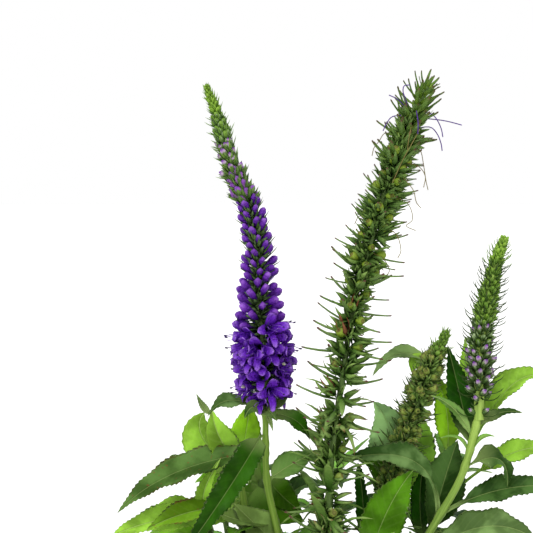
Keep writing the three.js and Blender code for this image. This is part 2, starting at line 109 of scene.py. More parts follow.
class Wire:
    """An output of a node. Python's operators on it add Math nodes."""

    def __init__(self, graph, socket):
        self.graph, self.socket = graph, socket

    def maths(self, operation, *values):
        return self.graph.node("ShaderNodeMath", {"operation": operation}, dict(enumerate(values)))

    def __add__(self, other):
        return self.maths("ADD", self, other)

    def __sub__(self, other):
        return self.maths("SUBTRACT", self, other)

    def __rsub__(self, other):
        return self.maths("SUBTRACT", other, self)

    def __mul__(self, other):
        return self.maths("MULTIPLY", self, other)

    def __truediv__(self, other):
        return self.maths("DIVIDE", self, other)

    __radd__, __rmul__ = __add__, __mul__

    def size(self):
        return self.maths("ABSOLUTE", self)

    def fraction(self):
        return self.maths("FRACT", self)

    def cosine(self):
        return self.maths("COSINE", self)

    def sine(self):
        return self.maths("SINE", self)

    def ramp(self, low, high):
        """0 below low and 1 above high, smooth between them."""
        sizes = {"Value": self, "From Min": low, "From Max": high}
        return self.graph.node("ShaderNodeMapRange", {"interpolation_type": "SMOOTHSTEP"}, sizes)


def socket_of(sockets, key):
    if isinstance(key, int):
        return sockets[key]
    return next(s for s in sockets if s.enabled and key in (s.name, None))


class Graph:
    """A node tree to which any node can be added in one call."""

    def __init__(self, tree):
        self.tree = tree

    def node(self, kind, settings=None, inputs=None, output=None):
        """Adds a node: first its settings, then the values or wires of its sockets. Returns one output."""
        made = self.tree.nodes.new(kind)
        for name, value in (settings or {}).items():
            setattr(made, name, value)
        for key, value in (inputs or {}).items():
            socket = socket_of(made.inputs, key)
            if isinstance(value, Wire):
                self.tree.links.new(value.socket, socket)
            else:
                socket.default_value = value
        return Wire(self, socket_of(made.outputs, output)) if made.outputs else None

    def mix(self, factor, low, high, blend="MIX"):
        settings = {"data_type": "RGBA", "blend_type": blend}
        return self.node("ShaderNodeMix", settings, {"Factor": factor, "A": low, "B": high})

    def vector(self, operation, *values):
        return self.node("ShaderNodeVectorMath", {"operation": operation}, dict(enumerate(values)))

    def scaled(self, vector, factor):
        sockets = {"Vector": vector, "Scale": factor}
        return self.node("ShaderNodeVectorMath", {"operation": "SCALE"}, sockets)


def tint(red, green, blue):
    """A colour on the 0 to 255 scale as the linear values that a shader works in."""
    shares = [level / 255 for level in (red, green, blue)]
    return (*(s / 12.92 if s <= 0.04 else ((s + 0.055) / 1.055) ** 2.4 for s in shares), 1.0)


print("white is", tint(255, 255, 255))

# %% Floor
FLOOR_RADIUS = 4.0  # metres
RIM_STEPS = 96
floor_mesh = bpy.data.meshes.new("floor")
rim_angles = np.linspace(0, math.tau, RIM_STEPS, False)
rim = [(FLOOR_RADIUS * math.cos(a), FLOOR_RADIUS * math.sin(a), 0) for a in rim_angles]
floor_mesh.from_pydata(rim, [], [tuple(range(RIM_STEPS))])
floor = bpy.data.objects.new("floor", floor_mesh)
bpy.context.scene.collection.objects.link(floor)
floor_finish = bpy.data.materials.new("pale_floor")
floor_finish.use_nodes = True
floor_shader = floor_finish.node_tree.nodes["Principled BSDF"]
floor_shader.inputs["Base Color"].default_value = tint(246, 246, 245)
floor_shader.inputs["Roughness"].default_value = 0.9
floor_shader.inputs["Specular IOR Level"].default_value = 0.1
floor_mesh.materials.append(floor_finish)
floor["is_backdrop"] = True
print("floor radius:", FLOOR_RADIUS)

# %% [markdown]
# ## Green finishes
# A living leaf is never one flat green. Its upper face is darker and glossier, with a sunken pale midrib
# and side veins that lean towards the tip, and its lower face is paler and greyer, with the same veins
# raised. Leaves differ from each other as much as they do within one blade: young ones are yellow-green,
# old ones deep green. So each leaf is dealt one of a few plain greens, and the veins are worked out from
# two distances that every leaf mesh carries: how far along and how far across the blade a point is.
# Light is painted in as well: one half of each blade is painted lighter, with a greyish painted sheen, as
# if it caught the light, and a few greens are painted lighter for leaves that are backlit or stand in shade.

# %% A finish begins and ends the same way


def begin(name):
    material = bpy.data.materials.new(name)
    material.use_nodes = True
    material.node_tree.nodes.clear()
    return material, Graph(material.node_tree)


def end(graph, colour, roughness, relief, depth, shine):
    """Closes a finish with its shader. relief drives a Bump of that depth in mm."""
    bump = graph.node("ShaderNodeBump", {}, {"Height": relief, "Strength": 1.0, "Distance": depth * MM})
    sockets = {"Base Color": colour, "Roughness": roughness, "Normal": bump, "Specular IOR Level": shine}
    shader = graph.node("ShaderNodeBsdfPrincipled", {}, sockets)
    graph.node("ShaderNodeOutputMaterial", {}, {"Surface": shader})


def attribute(graph, name, output="Fac"):
    return graph.node("ShaderNodeAttribute", {"attribute_name": name}, {}, output)


def place_of(graph):
    return graph.node("ShaderNodeTexCoord", {}, {}, "Object")


def noise(graph, feature, detail):
    """Noise with features of about that size in mm, mostly between 0.3 and 0.7."""
    sizes = {"Vector": place_of(graph), "Scale": 0.7 / (feature * MM), "Detail": detail}
    return graph.node("ShaderNodeTexNoise", {}, sizes)


def speckle(graph, feature, detail=3.0):
    """The same noise from 0 to 1."""
    return noise(graph, feature, detail).ramp(0.3, 0.7)


def shade(colour, factor):
    return (*(c * factor for c in colour[:3]), 1.0)


def blended(low, high, share):
    return (*(a + (b - a) * share for a, b in zip(low[:3], high[:3])), 1.0)


print("green at half its level:", shade(tint(66, 112, 8), 0.5))

# %% The tissue of a leaf
VEIN_PITCH = 3.4  # mm from one side vein to the next
VEIN_LEAN = 1.15  # how far a vein runs forward for each mm across
PALE_FOOT = 10.0  # mm over which the pale green of the leaf's foot fades
SIDE_VEIN, MIDRIB = 0.18, 0.2  # how much of the vein's colour shows there
# SHADED and LIT are painted shade and painted light: a leaf's colour is mottled at random between them, and
# one half of each blade is painted towards LIT, as if it caught the light.
SHADED, LIT = 0.6, 1.46  # the darkest and the lightest tissue, as shares of the leaf's own colour


def leaf_finish(name, face, vein, veins, bloom, gloss, groove, worn):
    """Leaf tissue with veins. groove is 1 where they are sunken and -1 where they stand out.

    veins says how much they show, bloom how much greyish painted sheen the half that is painted lighter
    takes, worn whether rust spots it.
    """
    material, graph = begin(name)
    along, across, edge = (attribute(graph, key) for key in ("along", "across", "edge"))
    beat = ((along - across.size() * VEIN_LEAN) / VEIN_PITCH).fraction()
    side_vein = (1 - (beat - 0.5).size() * 2).ramp(0.6, 1.0) * (1 - edge.ramp(0.7, 0.98))
    midrib = 1 - across.size().ramp(0.06, 0.26)
    # Painted light: the tone attribute paints one half of each blade lighter, as if it caught the light, and
    # speckle mottles it at random. The lighter end takes a greyish painted sheen.
    painted_light_and_mottle = (speckle(graph, 5.0) * 0.5 + attribute(graph, "tone") * 0.5).ramp(0.15, 0.85)
    colour = graph.mix(painted_light_and_mottle, shade(face, SHADED), blended(shade(face, LIT), GREY_HAIR_SHEEN, bloom))
    colour = graph.mix(side_vein * (SIDE_VEIN * veins), colour, vein)
    # The pale margin is partly the leaf's fine hairs and partly a painted highlight along the edge.
    colour = graph.mix(midrib * (MIDRIB + veins) + edge.ramp(0.93, 1.0) * 0.3, colour, vein)
    colour = graph.mix((1 - along.ramp(1, PALE_FOOT)) * 0.5, colour, vein)
    if worn:
        rim = edge.ramp(0.8, 1.0) * speckle(graph, 3.0).ramp(0.25, 0.6) * worn
        spots = noise(graph, 0.7, 0.0).ramp(0.76, 0.8) * 0.5
        colour = graph.mix(rim.maths("MAXIMUM", rim, spots), colour, RUST)
    quilt = (beat * math.tau).cosine() * 0.14 * (1 - edge) + midrib * 0.7
    grain = speckle(graph, 0.9, 1.0) * 0.2
    relief = (grain - quilt) if groove > 0 else (grain + quilt)
    end(graph, colour, gloss + speckle(graph, 1.8) * 0.12, relief, depth=0.22, shine=0.05)
    return material


print("side veins on 40 mm of leaf:", round(40 / VEIN_PITCH))

# %% The greens that are dealt to the leaves
# Each is a colour, how much the veins show, how much greyish painted sheen the half that is painted lighter
# takes, and how rusty the margin.
GREENS = {
    "deep": ((24, 64, 4), 0.1, 0, 0),
    "dark": ((44, 78, 22), 0.15, 0.12, 0),
    "velvet": ((56, 94, 32), 0.1, 0.4, 0),
    "pine": ((34, 74, 4), 0.05, 0, 0),
    "ash": ((118, 148, 70), 0.3, 0.2, 0),
    "worn": ((58, 90, 28), 0.08, 0.12, 0.3),
    "grey": ((92, 122, 62), 0.2, 0.25, 0),
    # misty, and glow below, are painted lighter than the green of their leaves, to offset the shade in which
    # those leaves stand.
    "misty": ((160, 208, 130), 0.2, 0.25, 0),
    "moss": ((78, 118, 42), 0.6, 0.2, 0),
    "mid": ((66, 112, 8), 0.2, 0.02, 0),
    "soft": ((100, 154, 48), 0.4, 0.1, 0),
    "fresh": ((108, 162, 24), 0.5, 0.05, 0),
    # backlit is a painted glow, as of light shining through the leaf.
    "backlit": ((128, 180, 30), 0.3, 0, 0),
    "pale": ((134, 180, 54), 0.5, 0.05, 0),
    "rusty": ((94, 136, 16), 0.2, 0.05, 0.8),
    "glow": ((152, 204, 72), 0.4, 0.05, 0),
}
# GREY_HAIR_SHEEN is the grey of fine hairs with a painted sheen on them, laid over the half of a blade that
# is painted lighter.
GREY_HAIR_SHEEN = tint(148, 172, 114)
UNDERSIDE = tint(124, 150, 92)
PALE_VEIN = tint(186, 208, 128)
RUST = tint(118, 64, 40)

leaf_finishes = {}
for green, (level, veins, bloom, worn) in GREENS.items():
    face = tint(*level)
    vein, under = blended(face, PALE_VEIN, 0.6), blended(face, UNDERSIDE, 0.6)
    leaf_finishes[green] = (
        leaf_finish(f"leaf_{green}", face, vein, veins, bloom, 0.42, 1, worn),
        leaf_finish(f"leaf_{green}_under", under, PALE_VEIN, 0.4, 0.1, 0.6, -1, worn),
    )
print("leaf finishes:", len(leaf_finishes) * 2)

# %% [markdown]
# ## The shoots
# Every stem is a smooth curve through a few points, with its leaves told by where they spring from it,
# the middle of the midrib, the tip, and the way the upper face looks. Further down the leaves follow the
# rule of the kind: opposite pairs, each square to the one below. The stems, heights, middles and tips are
# the solid model's own, and each leaf has a width, a green and a facing of its own for the mesh.

# %% Tables of the shoots
UPWARD = (0, -0.3, 1)
FRONT = (0, -1, 0.35)
FRONT_UP = (0, -0.75, 0.75)
FRONT_LEFT = (-0.7, -0.7, 0.3)

# All in mm and degrees. thick: radius at the foot and at the top. cuts: heights at which the
# bare bough and each mass of leaves end.
# pairs: lowest height, highest height, number, first heading, length, rise, droop.
# leaves: height on the stem, width, middle, tip, green, and where they differ from FRONT_UP and 0
# the look and the share of the length that is stalk.
SHOOTS = {
    "bud": {
        "path": [(6.5, -2.5, 5), (17, -5, 30), (34, -6, 61.5), (44.5, -4, 80), (49.8, -3, 99)],
        "thick": (2.3, 1.8),
        "cuts": (24, 58, 80, 98.8),
        "pairs": [(31, 50, 2, 300, 34, 30, 55)],
        "leaves": [
            (52, 12, (50, -14, 65), (67.5, -18, 61), "grey", (-0.1, -0.6, 0.8), 0.12),
            (68, 8.4, (28.5, -6, 85), (4.5, -5, 84.5), "velvet", FRONT_UP, 0.28),
            (68.4, 8.5, (56.5, -6, 75.5), (76, -8, 77), "dark", FRONT_UP, 0.2),
            (83, 6.6, (55.5, -5, 88), (59, -6, 76.5), "dark", (0.1, -0.6, 0.8)),
            (88, 2.8, (43, -4, 92), (37.5, -4, 92), "soft", UPWARD),
            (88, 2.8, (51, -4, 92), (55, -4, 92.5), "soft", UPWARD),
            (90.5, 8.6, (44.6, 1.5, 105), (40.5, 2, 121.5), "deep", FRONT),
            (93, 3.6, (41.5, -4.5, 101.5), (34, -6, 106), "moss"),
            (91, 9.4, (59.5, 3, 108.5), (72.5, 4, 114.5), "pale", (-0.45, -0.6, 0.65), 0.1),
            (96, 3.6, (56.5, -4, 100), (64, -4, 100), "dark"),
        ],
    },
    "seed": {
        "path": [(0.8, -8.5, 5), (2, -11, 22), (1, -14, 40), (1, -15, 59)],
        "thick": (2.2, 2),
        "cuts": (18, 59),
        "pairs": [(23, 50, 3, 20, 33, 32, 60)],
    },
    "bloom": {
        "path": [(-2.5, -3.5, 5), (-9, -6, 35), (-14.5, -8, 62), (-18, -8, 80), (-18.4, -8, 103)],
        "thick": (2.1, 1.35),
        "cuts": (22, 64, 102.8),
        "pairs": [(29, 55, 3, 210, 34, 30, 60)],
        "leaves": [
            (79, 8.4, (-11, -5, 83), (-0.5, -2, 88), "moss", FRONT_UP, 0.12),
            (79.4, 9, (-13.5, 0, 73), (-6, 4, 66), "mid", FRONT),
            (91, 8.4, (-27, -19, 80), (-41, -30, 64), "pine", (0.09, -0.75, 0.66), 0.04),
            (88, 9.6, (-46.5, -7, 81.5), (-65.5, -12, 69), "worn"),
            (101, 5, (-29.5, -11, 105), (-38.5, -14, 101.6), "velvet"),
            (100.4, 5.4, (-9.5, -9, 100.5), (-3, -6, 90), "pine", (0.3, -0.8, 0.5)),
            (101.2, 6.4, (-14, -3, 105.5), (-10, 1, 108.5), "dark"),
            (100, 1.6, (-17, -10.4, 98.5), (-16, -11, 95), "grey", FRONT),
        ],
    },
    "short": {
        "path": [(4.5, 2.5, 5), (9, 4, 30), (16, 4.5, 52), (20, 4, 70.5)],
        "thick": (1.9, 1.5),
        "cuts": (22, 70.2),
        "pairs": [(28, 52, 3, 75, 32, 34, 55)],
        "leaves": [(62, 8, (20.5, 9, 77), (11.5, 9, 82.5), "mid", FRONT)],
    },
    "left": {
        "path": [(-7.5, -2.5, 5), (-13, -3, 30), (-23, -2, 52), (-25.5, 0, 71), (-27, 1, 88)],
        "thick": (2, 1.2),
        "cuts": (24, 87),
        "pairs": [(30, 58, 3, 260, 36, 28, 62)],
        "leaves": [
            (70, 8.6, (-41, -9, 69.5), (-55.5, -13, 64.5), "rusty", (-0.1, -0.7, 0.7)),
            (66, 10, (-50.5, -6, 64), (-68.5, -10, 58.5), "pale"),
            (72, 5, (-35.5, 1, 78), (-33, 2, 85), "pale", FRONT, 0.4),
            (80, 14, (-38.5, -1, 91), (-38, 0, 99.5), "pale", FRONT),
            (84, 9, (-33, 3.5, 92), (-35.5, 5, 101.5), "pale", FRONT),
            (84.6, 9, (-24.5, 3, 94), (-23.5, 4, 102.5), "backlit", FRONT),
        ],
    },
    "far_left": {
        "path": [(-10.5, 2, 4), (-21, 3, 24), (-32, 3, 44), (-37, 3, 63)],
        "thick": (1.8, 1.1),
        "cuts": (20, 62.4),
        "pairs": [(25, 44, 2, 120, 32, 24, 60)],
        "leaves": [
            (59, 7, (-46, 4, 69.5), (-55, 5, 67), "pale"),
            (56, 11, (-52, 10, 58), (-66, 14, 46), "fresh", UPWARD),
            (61.6, 6, (-37, 12, 72), (-38, 20, 78), "fresh", UPWARD),
            (52, 9, (-37, -8, 54), (-42, -20, 50), "mid", UPWARD),
        ],
    },
    "behind_left": {
        "path": [(-4, 3.5, 5), (-8, 8, 34), (-17, 12, 58), (-20, 12, 76)],
        "thick": (2, 1.2),
        "cuts": (24, 75.4),
        "pairs": [(30, 48, 2, 100, 34, 26, 58)],
        "leaves": [
            (74, 14.6, (-12, 9, 69.5), (-3, 7, 62), "mid", FRONT),
            (66, 9, (-25, 6, 64), (-31, 2, 56), "grey", FRONT),
            (70, 10, (-24, 24, 79), (-28, 38, 76), "mid", UPWARD),
            (74.4, 9, (-29, 14, 84), (-37, 15, 80), "mid"),
            (60, 10, (-8, 16, 72), (4, 18, 72), "dark", UPWARD),
        ],
    },
    "centre": {
        "path": [(5.5, -8.5, 4), (9, -12, 22), (13, -14, 40), (13.5, -14, 58)],
        "thick": (1.9, 1.3),
        "cuts": (18, 57.4),
        "pairs": [(23, 42, 2, 300, 34, 24, 66)],
        "leaves": [
            (54, 12.6, (20.5, -14, 71), (28.5, -12, 83), "mid", FRONT),
            (55, 9, (20, -30, 60), (26, -42, 50), "mid", UPWARD),
            (56, 5, (12.5, -8, 75), (11, -6, 84.5), "deep", FRONT_LEFT),
        ],
    },
    "behind": {
        "path": [(3, 7, 5), (8, 10, 36), (18, 13, 64), (27, 13, 88), (31.5, 12, 105), (36, 12, 116)],
        "thick": (2.1, 1.1),
        "cuts": (26, 68, 115.4),
        "pairs": [(32, 56, 3, 50, 34, 28, 58)],
        "leaves": [
            # misty and glow paint these two leaves lighter, against the shade in which they stand.
            (72, 15, (22.5, 10, 90), (14.5, 10, 99.5), "misty", FRONT),
            (71, 13, (31, 16, 84), (32, 17, 97.5), "glow", FRONT),
            (114.6, 6.2, (26.5, 12, 118.8), (16, 10, 109.5), "grey", (-0.2, -0.5, 0.85)),
            (112, 6, (30.5, 13, 112), (28, 13, 105), "backlit", FRONT),
            (86, 8, (24, 26, 97), (26, 40, 98), "mid", UPWARD),
            (98, 7, (36, 20, 108), (42, 30, 110), "soft", UPWARD),
        ],
    },
    "behind_right": {
        "path": [(10, 2, 4), (20, 4, 28), (32, 7, 50), (39, 8, 70), (41, 9.5, 84)],
        "thick": (2, 1.2),
        "cuts": (22, 83.4),
        "pairs": [(29, 48, 2, 60, 34, 24, 60)],
        "leaves": [
            (56, 14, (35, 2, 77.5), (44.5, 4, 90), "dark", (-0.1, -0.95, 0.3), 0.15),
            (54, 7, (31.5, 0, 71), (33, 1, 83), "deep", FRONT_LEFT),
            (69, 8, (57.5, 4, 84), (75, 3, 88), "pale", FRONT_UP, 0.34),
            (70, 9, (44, 22, 80), (50, 36, 80), "mid", UPWARD),
            (82, 8, (40.5, 10, 98), (40, 11, 116), "backlit", FRONT, 0.12),
            (81, 4.6, (46, 11, 106), (46.5, 11, 123), "pale", FRONT, 0.2),
            (80, 6, (40, 22, 92), (34, 34, 92), "soft", UPWARD),
        ],
    },
    "back_left": {
        "path": [(-7.5, 7.5, 4), (-17, 16, 28), (-30, 28, 50), (-33, 32, 74)],
        "thick": (1.9, 1.1),
        "cuts": (20, 73.4),
        "pairs": [(27, 70, 5, 150, 38, 30, 66), (72.6, 72.6, 1, 70, 20, 58, 20)],
    },
    "back": {
        "path": [(-2, 9.5, 4), (-1, 20, 30), (3, 32, 50), (4, 37, 72)],
        "thick": (1.9, 1.1),
        "cuts": (20, 71.4),
        "pairs": [(28, 68, 5, 95, 38, 30, 66), (70.6, 70.6, 1, 20, 20, 58, 20)],
    },
    "back_right": {
        "path": [(8.5, 7, 4), (18, 16, 28), (31, 29, 48), (37, 35, 70)],
        "thick": (1.9, 1.1),
        "cuts": (20, 69.4),
        "pairs": [(27, 66, 5, 35, 38, 30, 66), (68.6, 68.6, 1, 120, 19, 58, 20)],
    },
    "front_left": {
        "path": [(-6.5, -8, 4), (-13, -17, 20), (-21, -26, 32), (-24, -30, 46)],
        "thick": (1.7, 1.1),
        "cuts": (16, 45.4),
        "pairs": [(21, 42, 3, 235, 32, 24, 70), (44.8, 44.8, 1, 130, 17, 54, 20)],
    },
    "front_right": {
        "path": [(9.5, -6.5, 4), (18, -16, 20), (28, -27, 32), (32, -31, 44)],
        "thick": (1.7, 1.1),
        "cuts": (16, 43.4),
        "pairs": [(21, 40, 3, 310, 32, 24, 70), (42.8, 42.8, 1, 40, 17, 54, 20)],
    },
}
MASS_LABELS = [[""], ["_low", "_top"], ["_low", "_middle", "_top"]]
print("shoots:", len(SHOOTS))

# %% What the solids leave to the mesh
# A solid leaf must not touch its neighbours, so it bends, waves and twists less than a real one. FINER
# says how a leaf differs from its solid, by its number in the table above, or for a leaf that grows by
# rule by its pair and side. lit is 1 or -1 for the half that is painted lighter, as if it caught the light.
# A small shoulder makes a leaf widest near its foot, and a small plump keeps it broad for longer. MORE
# adds small leaves that no solid has. Where a row ends in a point, that is a foot of its own, off the stem.
FINER = {
    "bud": {
        0: dict(lit=0.6),
        1: dict(ruffle=0.2, lit=-0.5, petiole=0.2),
        2: dict(lit=0.3, petiole=0.2),
        3: dict(middle=(56, -8, 85.6), ruffle=0.7, lit=1),
        8: dict(middle=(61.1, 3, 108), tip=(72.4, 4, 110.2), fold=0.5),
        9: dict(ruffle=0.3),
    },
    "bloom": {
        0: dict(lit=-0.4),
        2: dict(foot=(-19.6, -9, 93.8), middle=(-30.2, -24, 78.5), tip=(-43, -31, 61), ruffle=0.24,
                fold=0.4, shoulder=0.6, plump=0.6, lit=-0.6),
        3: dict(ruffle=0.14, lit=0.3, fold=0.36),
        4: dict(tip=(-36.9, -11.5, 99.8), ruffle=0.5),
        5: dict(middle=(-9.2, -9, 98.5), tip=(-4.3, -9, 92), ruffle=0.5, lit=-0.6),
        6: dict(middle=(-14.6, -5, 104.4), tip=(-10, -4, 108.2)),
    },
    "left": {
        0: dict(middle=(-43.4, -9, 68.6), tip=(-56.2, -13, 63.8), lit=-1, fold=0.4),
        1: dict(middle=(-50.5, -6, 66), tip=(-68.5, -10, 60.5)),
        2: dict(middle=(-38.1, -4, 71), tip=(-32.5, -11.5, 86.7)),
        3: dict(middle=(-38.5, 1.5, 91), tip=(-38, 2, 99.5)),
        4: dict(middle=(-33, -4, 92), tip=(-35.5, -5, 101.5), lit=0.9),
    },
    "far_left": {0: dict(middle=(-46, 4, 68.2))},
    "behind_left": {0: dict(middle=(-15.5, 8.5, 68.2), tip=(-5.5, 6, 63), lit=0.7)},
    "behind": {
        0: dict(tip=(16.6, 10, 102), lit=-0.6),
        2: dict(middle=(24.8, 12, 117.2), tip=(16.3, 10, 109.9), lit=0.4),
        3: dict(middle=(30.8, 11, 114.5), tip=(29.2, 10, 111.2)),
        4: dict(middle=(24, 26, 94), tip=(26, 40, 94)),
    },
    "behind_right": {
        0: dict(middle=(38.6, 2, 74.6), tip=(43.8, 4, 90.1), lit=-1, fold=0.2),
        4: dict(middle=(40.8, 10, 97.5), tip=(36.5, 10, 111.6)),
        6: dict(middle=(41, 22, 88), tip=(38, 34, 86)),
    },
    "back_left": {"4a": dict(middle=(-46, 36, 79), tip=(-50, 40, 76))},
}
MORE = {
    "left": [(74, 7, (-33.5, 3, 78.5), (-41.5, 4, 76), "fresh")],
    "bloom": [
        (100.6, 2.2, (-38.2, -10, 103), (-40.4, -9, 107.1), "dark", FRONT_UP, 0, (-35.8, -11.2, 100.6)),
        (101, 4, (-22.5, -15, 103.4), (-25, -16.4, 99.8), "dark", FRONT),
        (101, 4.6, (-17.4, -13.4, 102), (-14.6, -14.4, 98.8), "dark", FRONT),
    ],
    "behind_left": [
        (73.5, 8, (-23.5, 10, 71.8), (-27.6, 9, 74.3), "mid", FRONT),
        (66, 12, (-24.6, -8, 66), (-34.1, -13, 70), "ash", (0, -0.6, 0.8)),
        (62, 12, (-20.6, -9, 64), (-28.6, -10, 72), "ash", (0.2, -0.8, 0.5), 0, (-13, -6, 57)),
    ],
}
print("leaves told finer:", sum(len(told) for told in FINER.values()))

# %% Curves, worked out as the solid model works them out


class Path:
    """A smooth curve through its points, read at a share t of its spans."""

    ARC_STEPS = 200
    NEAR = 1e-4
    HALVINGS = 30

    def __init__(self, points):
        self.points = np.array(points, float)
        self.ts = np.linspace(0, 1, self.ARC_STEPS + 1)
        steps = np.linalg.norm(np.diff(self.at(self.ts), axis=0), axis=1)
        self.lengths = np.concatenate([[0], np.cumsum(steps)])
        self.length = self.lengths[-1]

    def at(self, t):
        last = len(self.points) - 1
        t = np.atleast_1d(np.clip(t, 0, 1)) * last
        i = np.minimum(t.astype(int), last - 1)
        w = (t - i)[:, None]
        before = np.vstack([2 * self.points[0] - self.points[1], self.points])
        after = np.vstack([self.points, 2 * self.points[-1] - self.points[-2]])
        p0, p1, p2, p3 = before[i], self.points[i], self.points[i + 1], after[i + 2]
        out, into = (p2 - p0) / 2, (p3 - p1) / 2
        cubic = 2 * p1 - 2 * p2 + out + into
        square = -3 * p1 + 3 * p2 - 2 * out - into
        return ((cubic * w + square) * w + out) * w + p1

    def along(self, t):
        way = self.at(t + self.NEAR) - self.at(t - self.NEAR)
        return way / np.linalg.norm(way, axis=1)[:, None]

    def share_at_length(self, length):
        return np.interp(length, self.lengths, self.ts)

    def share_at_height(self, height):
        low, high = 0.0, 1.0
        for _ in range(self.HALVINGS):
            middle = (low + high) / 2
            low, high = (middle, high) if self.at(middle)[0, 2] < height else (low, middle)
        return (low + high) / 2


def across_of(along):
    """The direction across a curve that is nearest to the front, at each of its points."""
    front = np.array([0, -1, 0]) + along * along[:, 1:2]
    return front / np.linalg.norm(front, axis=1)[:, None]


def heading_of(degrees):
    return np.array([math.cos(math.radians(degrees)), math.sin(math.radians(degrees)), 0])


for shoot in SHOOTS.values():
    shoot["curve"] = Path(shoot["path"])
print("longest stem in mm:", round(max(s["curve"].length for s in SHOOTS.values())))

# %% [markdown]
# ## Leaves
# A speedwell leaf is lance-shaped, folded a little along its midrib, with forward-pointing teeth and a
# margin that waves slightly. It could be a flat card with a picture of a leaf, but a card has no edge to
# catch the light and no outline from the side. Here each leaf is a thin closed mesh: a grid of points
# for the upper face and one for the lower face, which meet along the margin.

# %% Where each leaf springs from and reaches to
LEAF_SLIMNESS = 0.29  # width of a leaf that grows by rule, as a share of its length
SHORTER, STEEPER = 0.22, 14  # share by which the top pair is shorter than the lowest, and degrees steeper
OUTWARD = 0.3  # how far the face of a leaf that grows by rule is turned from the stem
TURNS_TRIED = (0, 6, -6, 12, -12, 18, -18)  # degrees, as the solid model turns leaves clear of each other
RULE_GREENS = ("dark", "mid", "mid", "grey", "deep", "soft")
dealing = np.random.default_rng(41)


def foot_of(shoot, height, out):
    t = shoot["curve"].share_at_height(height)
    radius = shoot["thick"][0] + (shoot["thick"][1] - shoot["thick"][0]) * t
    return shoot["curve"].at(t)[0] + np.asarray(out) * radius / 2


def ruled_leaf(foot, out, long, rise, droop, green):
    """A leaf that sets off at its rise above level and droops evenly along its length."""

    def reach(t):
        angle = math.radians(rise - droop * t / 2)
        return foot + out * math.cos(angle) * long * t + np.array([0, 0, math.sin(angle) * long * t])

    width, look = long * LEAF_SLIMNESS, np.array([0, 0, 1]) + OUTWARD * out
    places = {"foot": foot, "middle": reach(0.5), "tip": reach(1)}
    return {**places, "width": width, "look": look, "stalk": 0, "green": green}


def paired_leaves(shoot, lowest, highest, number, heading, length, rise, droop):
    for i in range(number):
        share = i / (number - 1) if number > 1 else 0
        height = lowest + (highest - lowest) * share
        long = length * (1 - SHORTER * share)
        for turned in (0, 180):
            out = heading_of(heading + 90 * i + turned)
            green = "soft" if number == 1 else str(dealing.choice(RULE_GREENS))
            leaf = ruled_leaf(foot_of(shoot, height, out), out, long, rise + STEEPER * share, droop, green)
            yield {"label": f"{i}{'b' if turned else 'a'}", "height": height, "out": out, **leaf}


def single_leaf(shoot, label, height, width, middle, tip, green, look=FRONT_UP, stalk=0, foot=None):
    out = np.array(middle, float) - foot_of(shoot, height, (0, 0, 0))
    out[2] = 0
    out /= np.linalg.norm(out)
    foot = foot_of(shoot, height, out) if foot is None else np.array(foot)
    places = {"foot": foot, "middle": np.array(middle, float), "tip": np.array(tip, float)}
    facts = {"width": width, "look": np.array(look, float), "stalk": stalk, "green": green}
    return {"label": label, "height": height, "out": out, **places, **facts}


def turned_leaf(leaf, degrees):
    c, s = math.cos(math.radians(degrees)), math.sin(math.radians(degrees))
    turn = np.array([[c, -s, 0], [s, c, 0], [0, 0, 1]])
    moved = {key: turn @ (leaf[key] - leaf["foot"]) + leaf["foot"] for key in ("middle", "tip")}
    return {**leaf, **moved}


for shoot in SHOOTS.values():
    shoot["grown"] = [leaf for pairs in shoot["pairs"] for leaf in paired_leaves(shoot, *pairs)]
    shoot["grown"] += [single_leaf(shoot, label, *row) for label, row in enumerate(shoot.get("leaves", []))]
print("leaves told:", sum(len(s["grown"]) for s in SHOOTS.values()))

# %% Leaves that the solid model turned or left out
# The solid model turns a leaf that would touch a neighbour, or leaves it out. Its mass shows which, by
# whether it has a surface where the leaf's tip would be.
TIP_NEAR = 0.15 * MM


def surface_of(node):
    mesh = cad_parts[node].data
    mesh.calc_loop_triangles()
    triangles = [tuple(t.vertices) for t in mesh.loop_triangles]
    return BVHTree.FromPolygons([v.co.copy() for v in mesh.vertices], triangles)


def as_placed(leaf, surface):
    for degrees in TURNS_TRIED:
        turned = turned_leaf(leaf, degrees)
        if surface.find_nearest(Vector(turned["tip"] * MM), TIP_NEAR)[0] is not None:
            return turned
    return None


masses = {}
for name, shoot in SHOOTS.items():
    spans = list(zip(shoot["cuts"], shoot["cuts"][1:]))
    for label, (low, high) in zip(MASS_LABELS[len(spans) - 1], spans):
        node = f"leaves_{name}{label}"
        surface = surface_of(node)
        placed = [as_placed(leaf, surface) for leaf in shoot["grown"] if low <= leaf["height"] < high]
        leaves = [{**leaf, **FINER.get(name, {}).get(leaf["label"], {})} for leaf in placed if leaf]
        leaves += [single_leaf(shoot, None, *row) for row in MORE.get(name, []) if low <= row[0] < high]
        masses[node] = {"shoot": shoot, "leaves": leaves}
print("leaves placed:", sum(len(m["leaves"]) for m in masses.values()))

# %% A thin closed blade from a grid of points


def blade_faces(rows, columns):
    """Faces of two grids that share their margins and one tip, and whether each is on the lower face."""
    upper = np.arange(rows * columns).reshape(rows, columns)
    lower = upper.copy()
    lower[:, 1:-1] = rows * columns + np.arange(rows * (columns - 2)).reshape(rows, columns - 2)
    tip = rows * columns + rows * (columns - 2)
    faces, under = [], []
    for below, grid in enumerate((upper, lower)):
        quads = np.stack([grid[:-1, :-1], grid[:-1, 1:], grid[1:, 1:], grid[1:, :-1]], 2)
        rings = quads.reshape(-1, 4).tolist()
        rings += [[a, b, tip] for a, b in zip(grid[-1, :-1].tolist(), grid[-1, 1:].tolist())]
        faces += [tuple(ring[::-1] if below else ring) for ring in rings]
        under += [below] * len(rings)
    foot = [*upper[0, ::-1].tolist(), *lower[0, 1:-1].tolist()]
    return [*faces, tuple(foot)], [*under, 1]


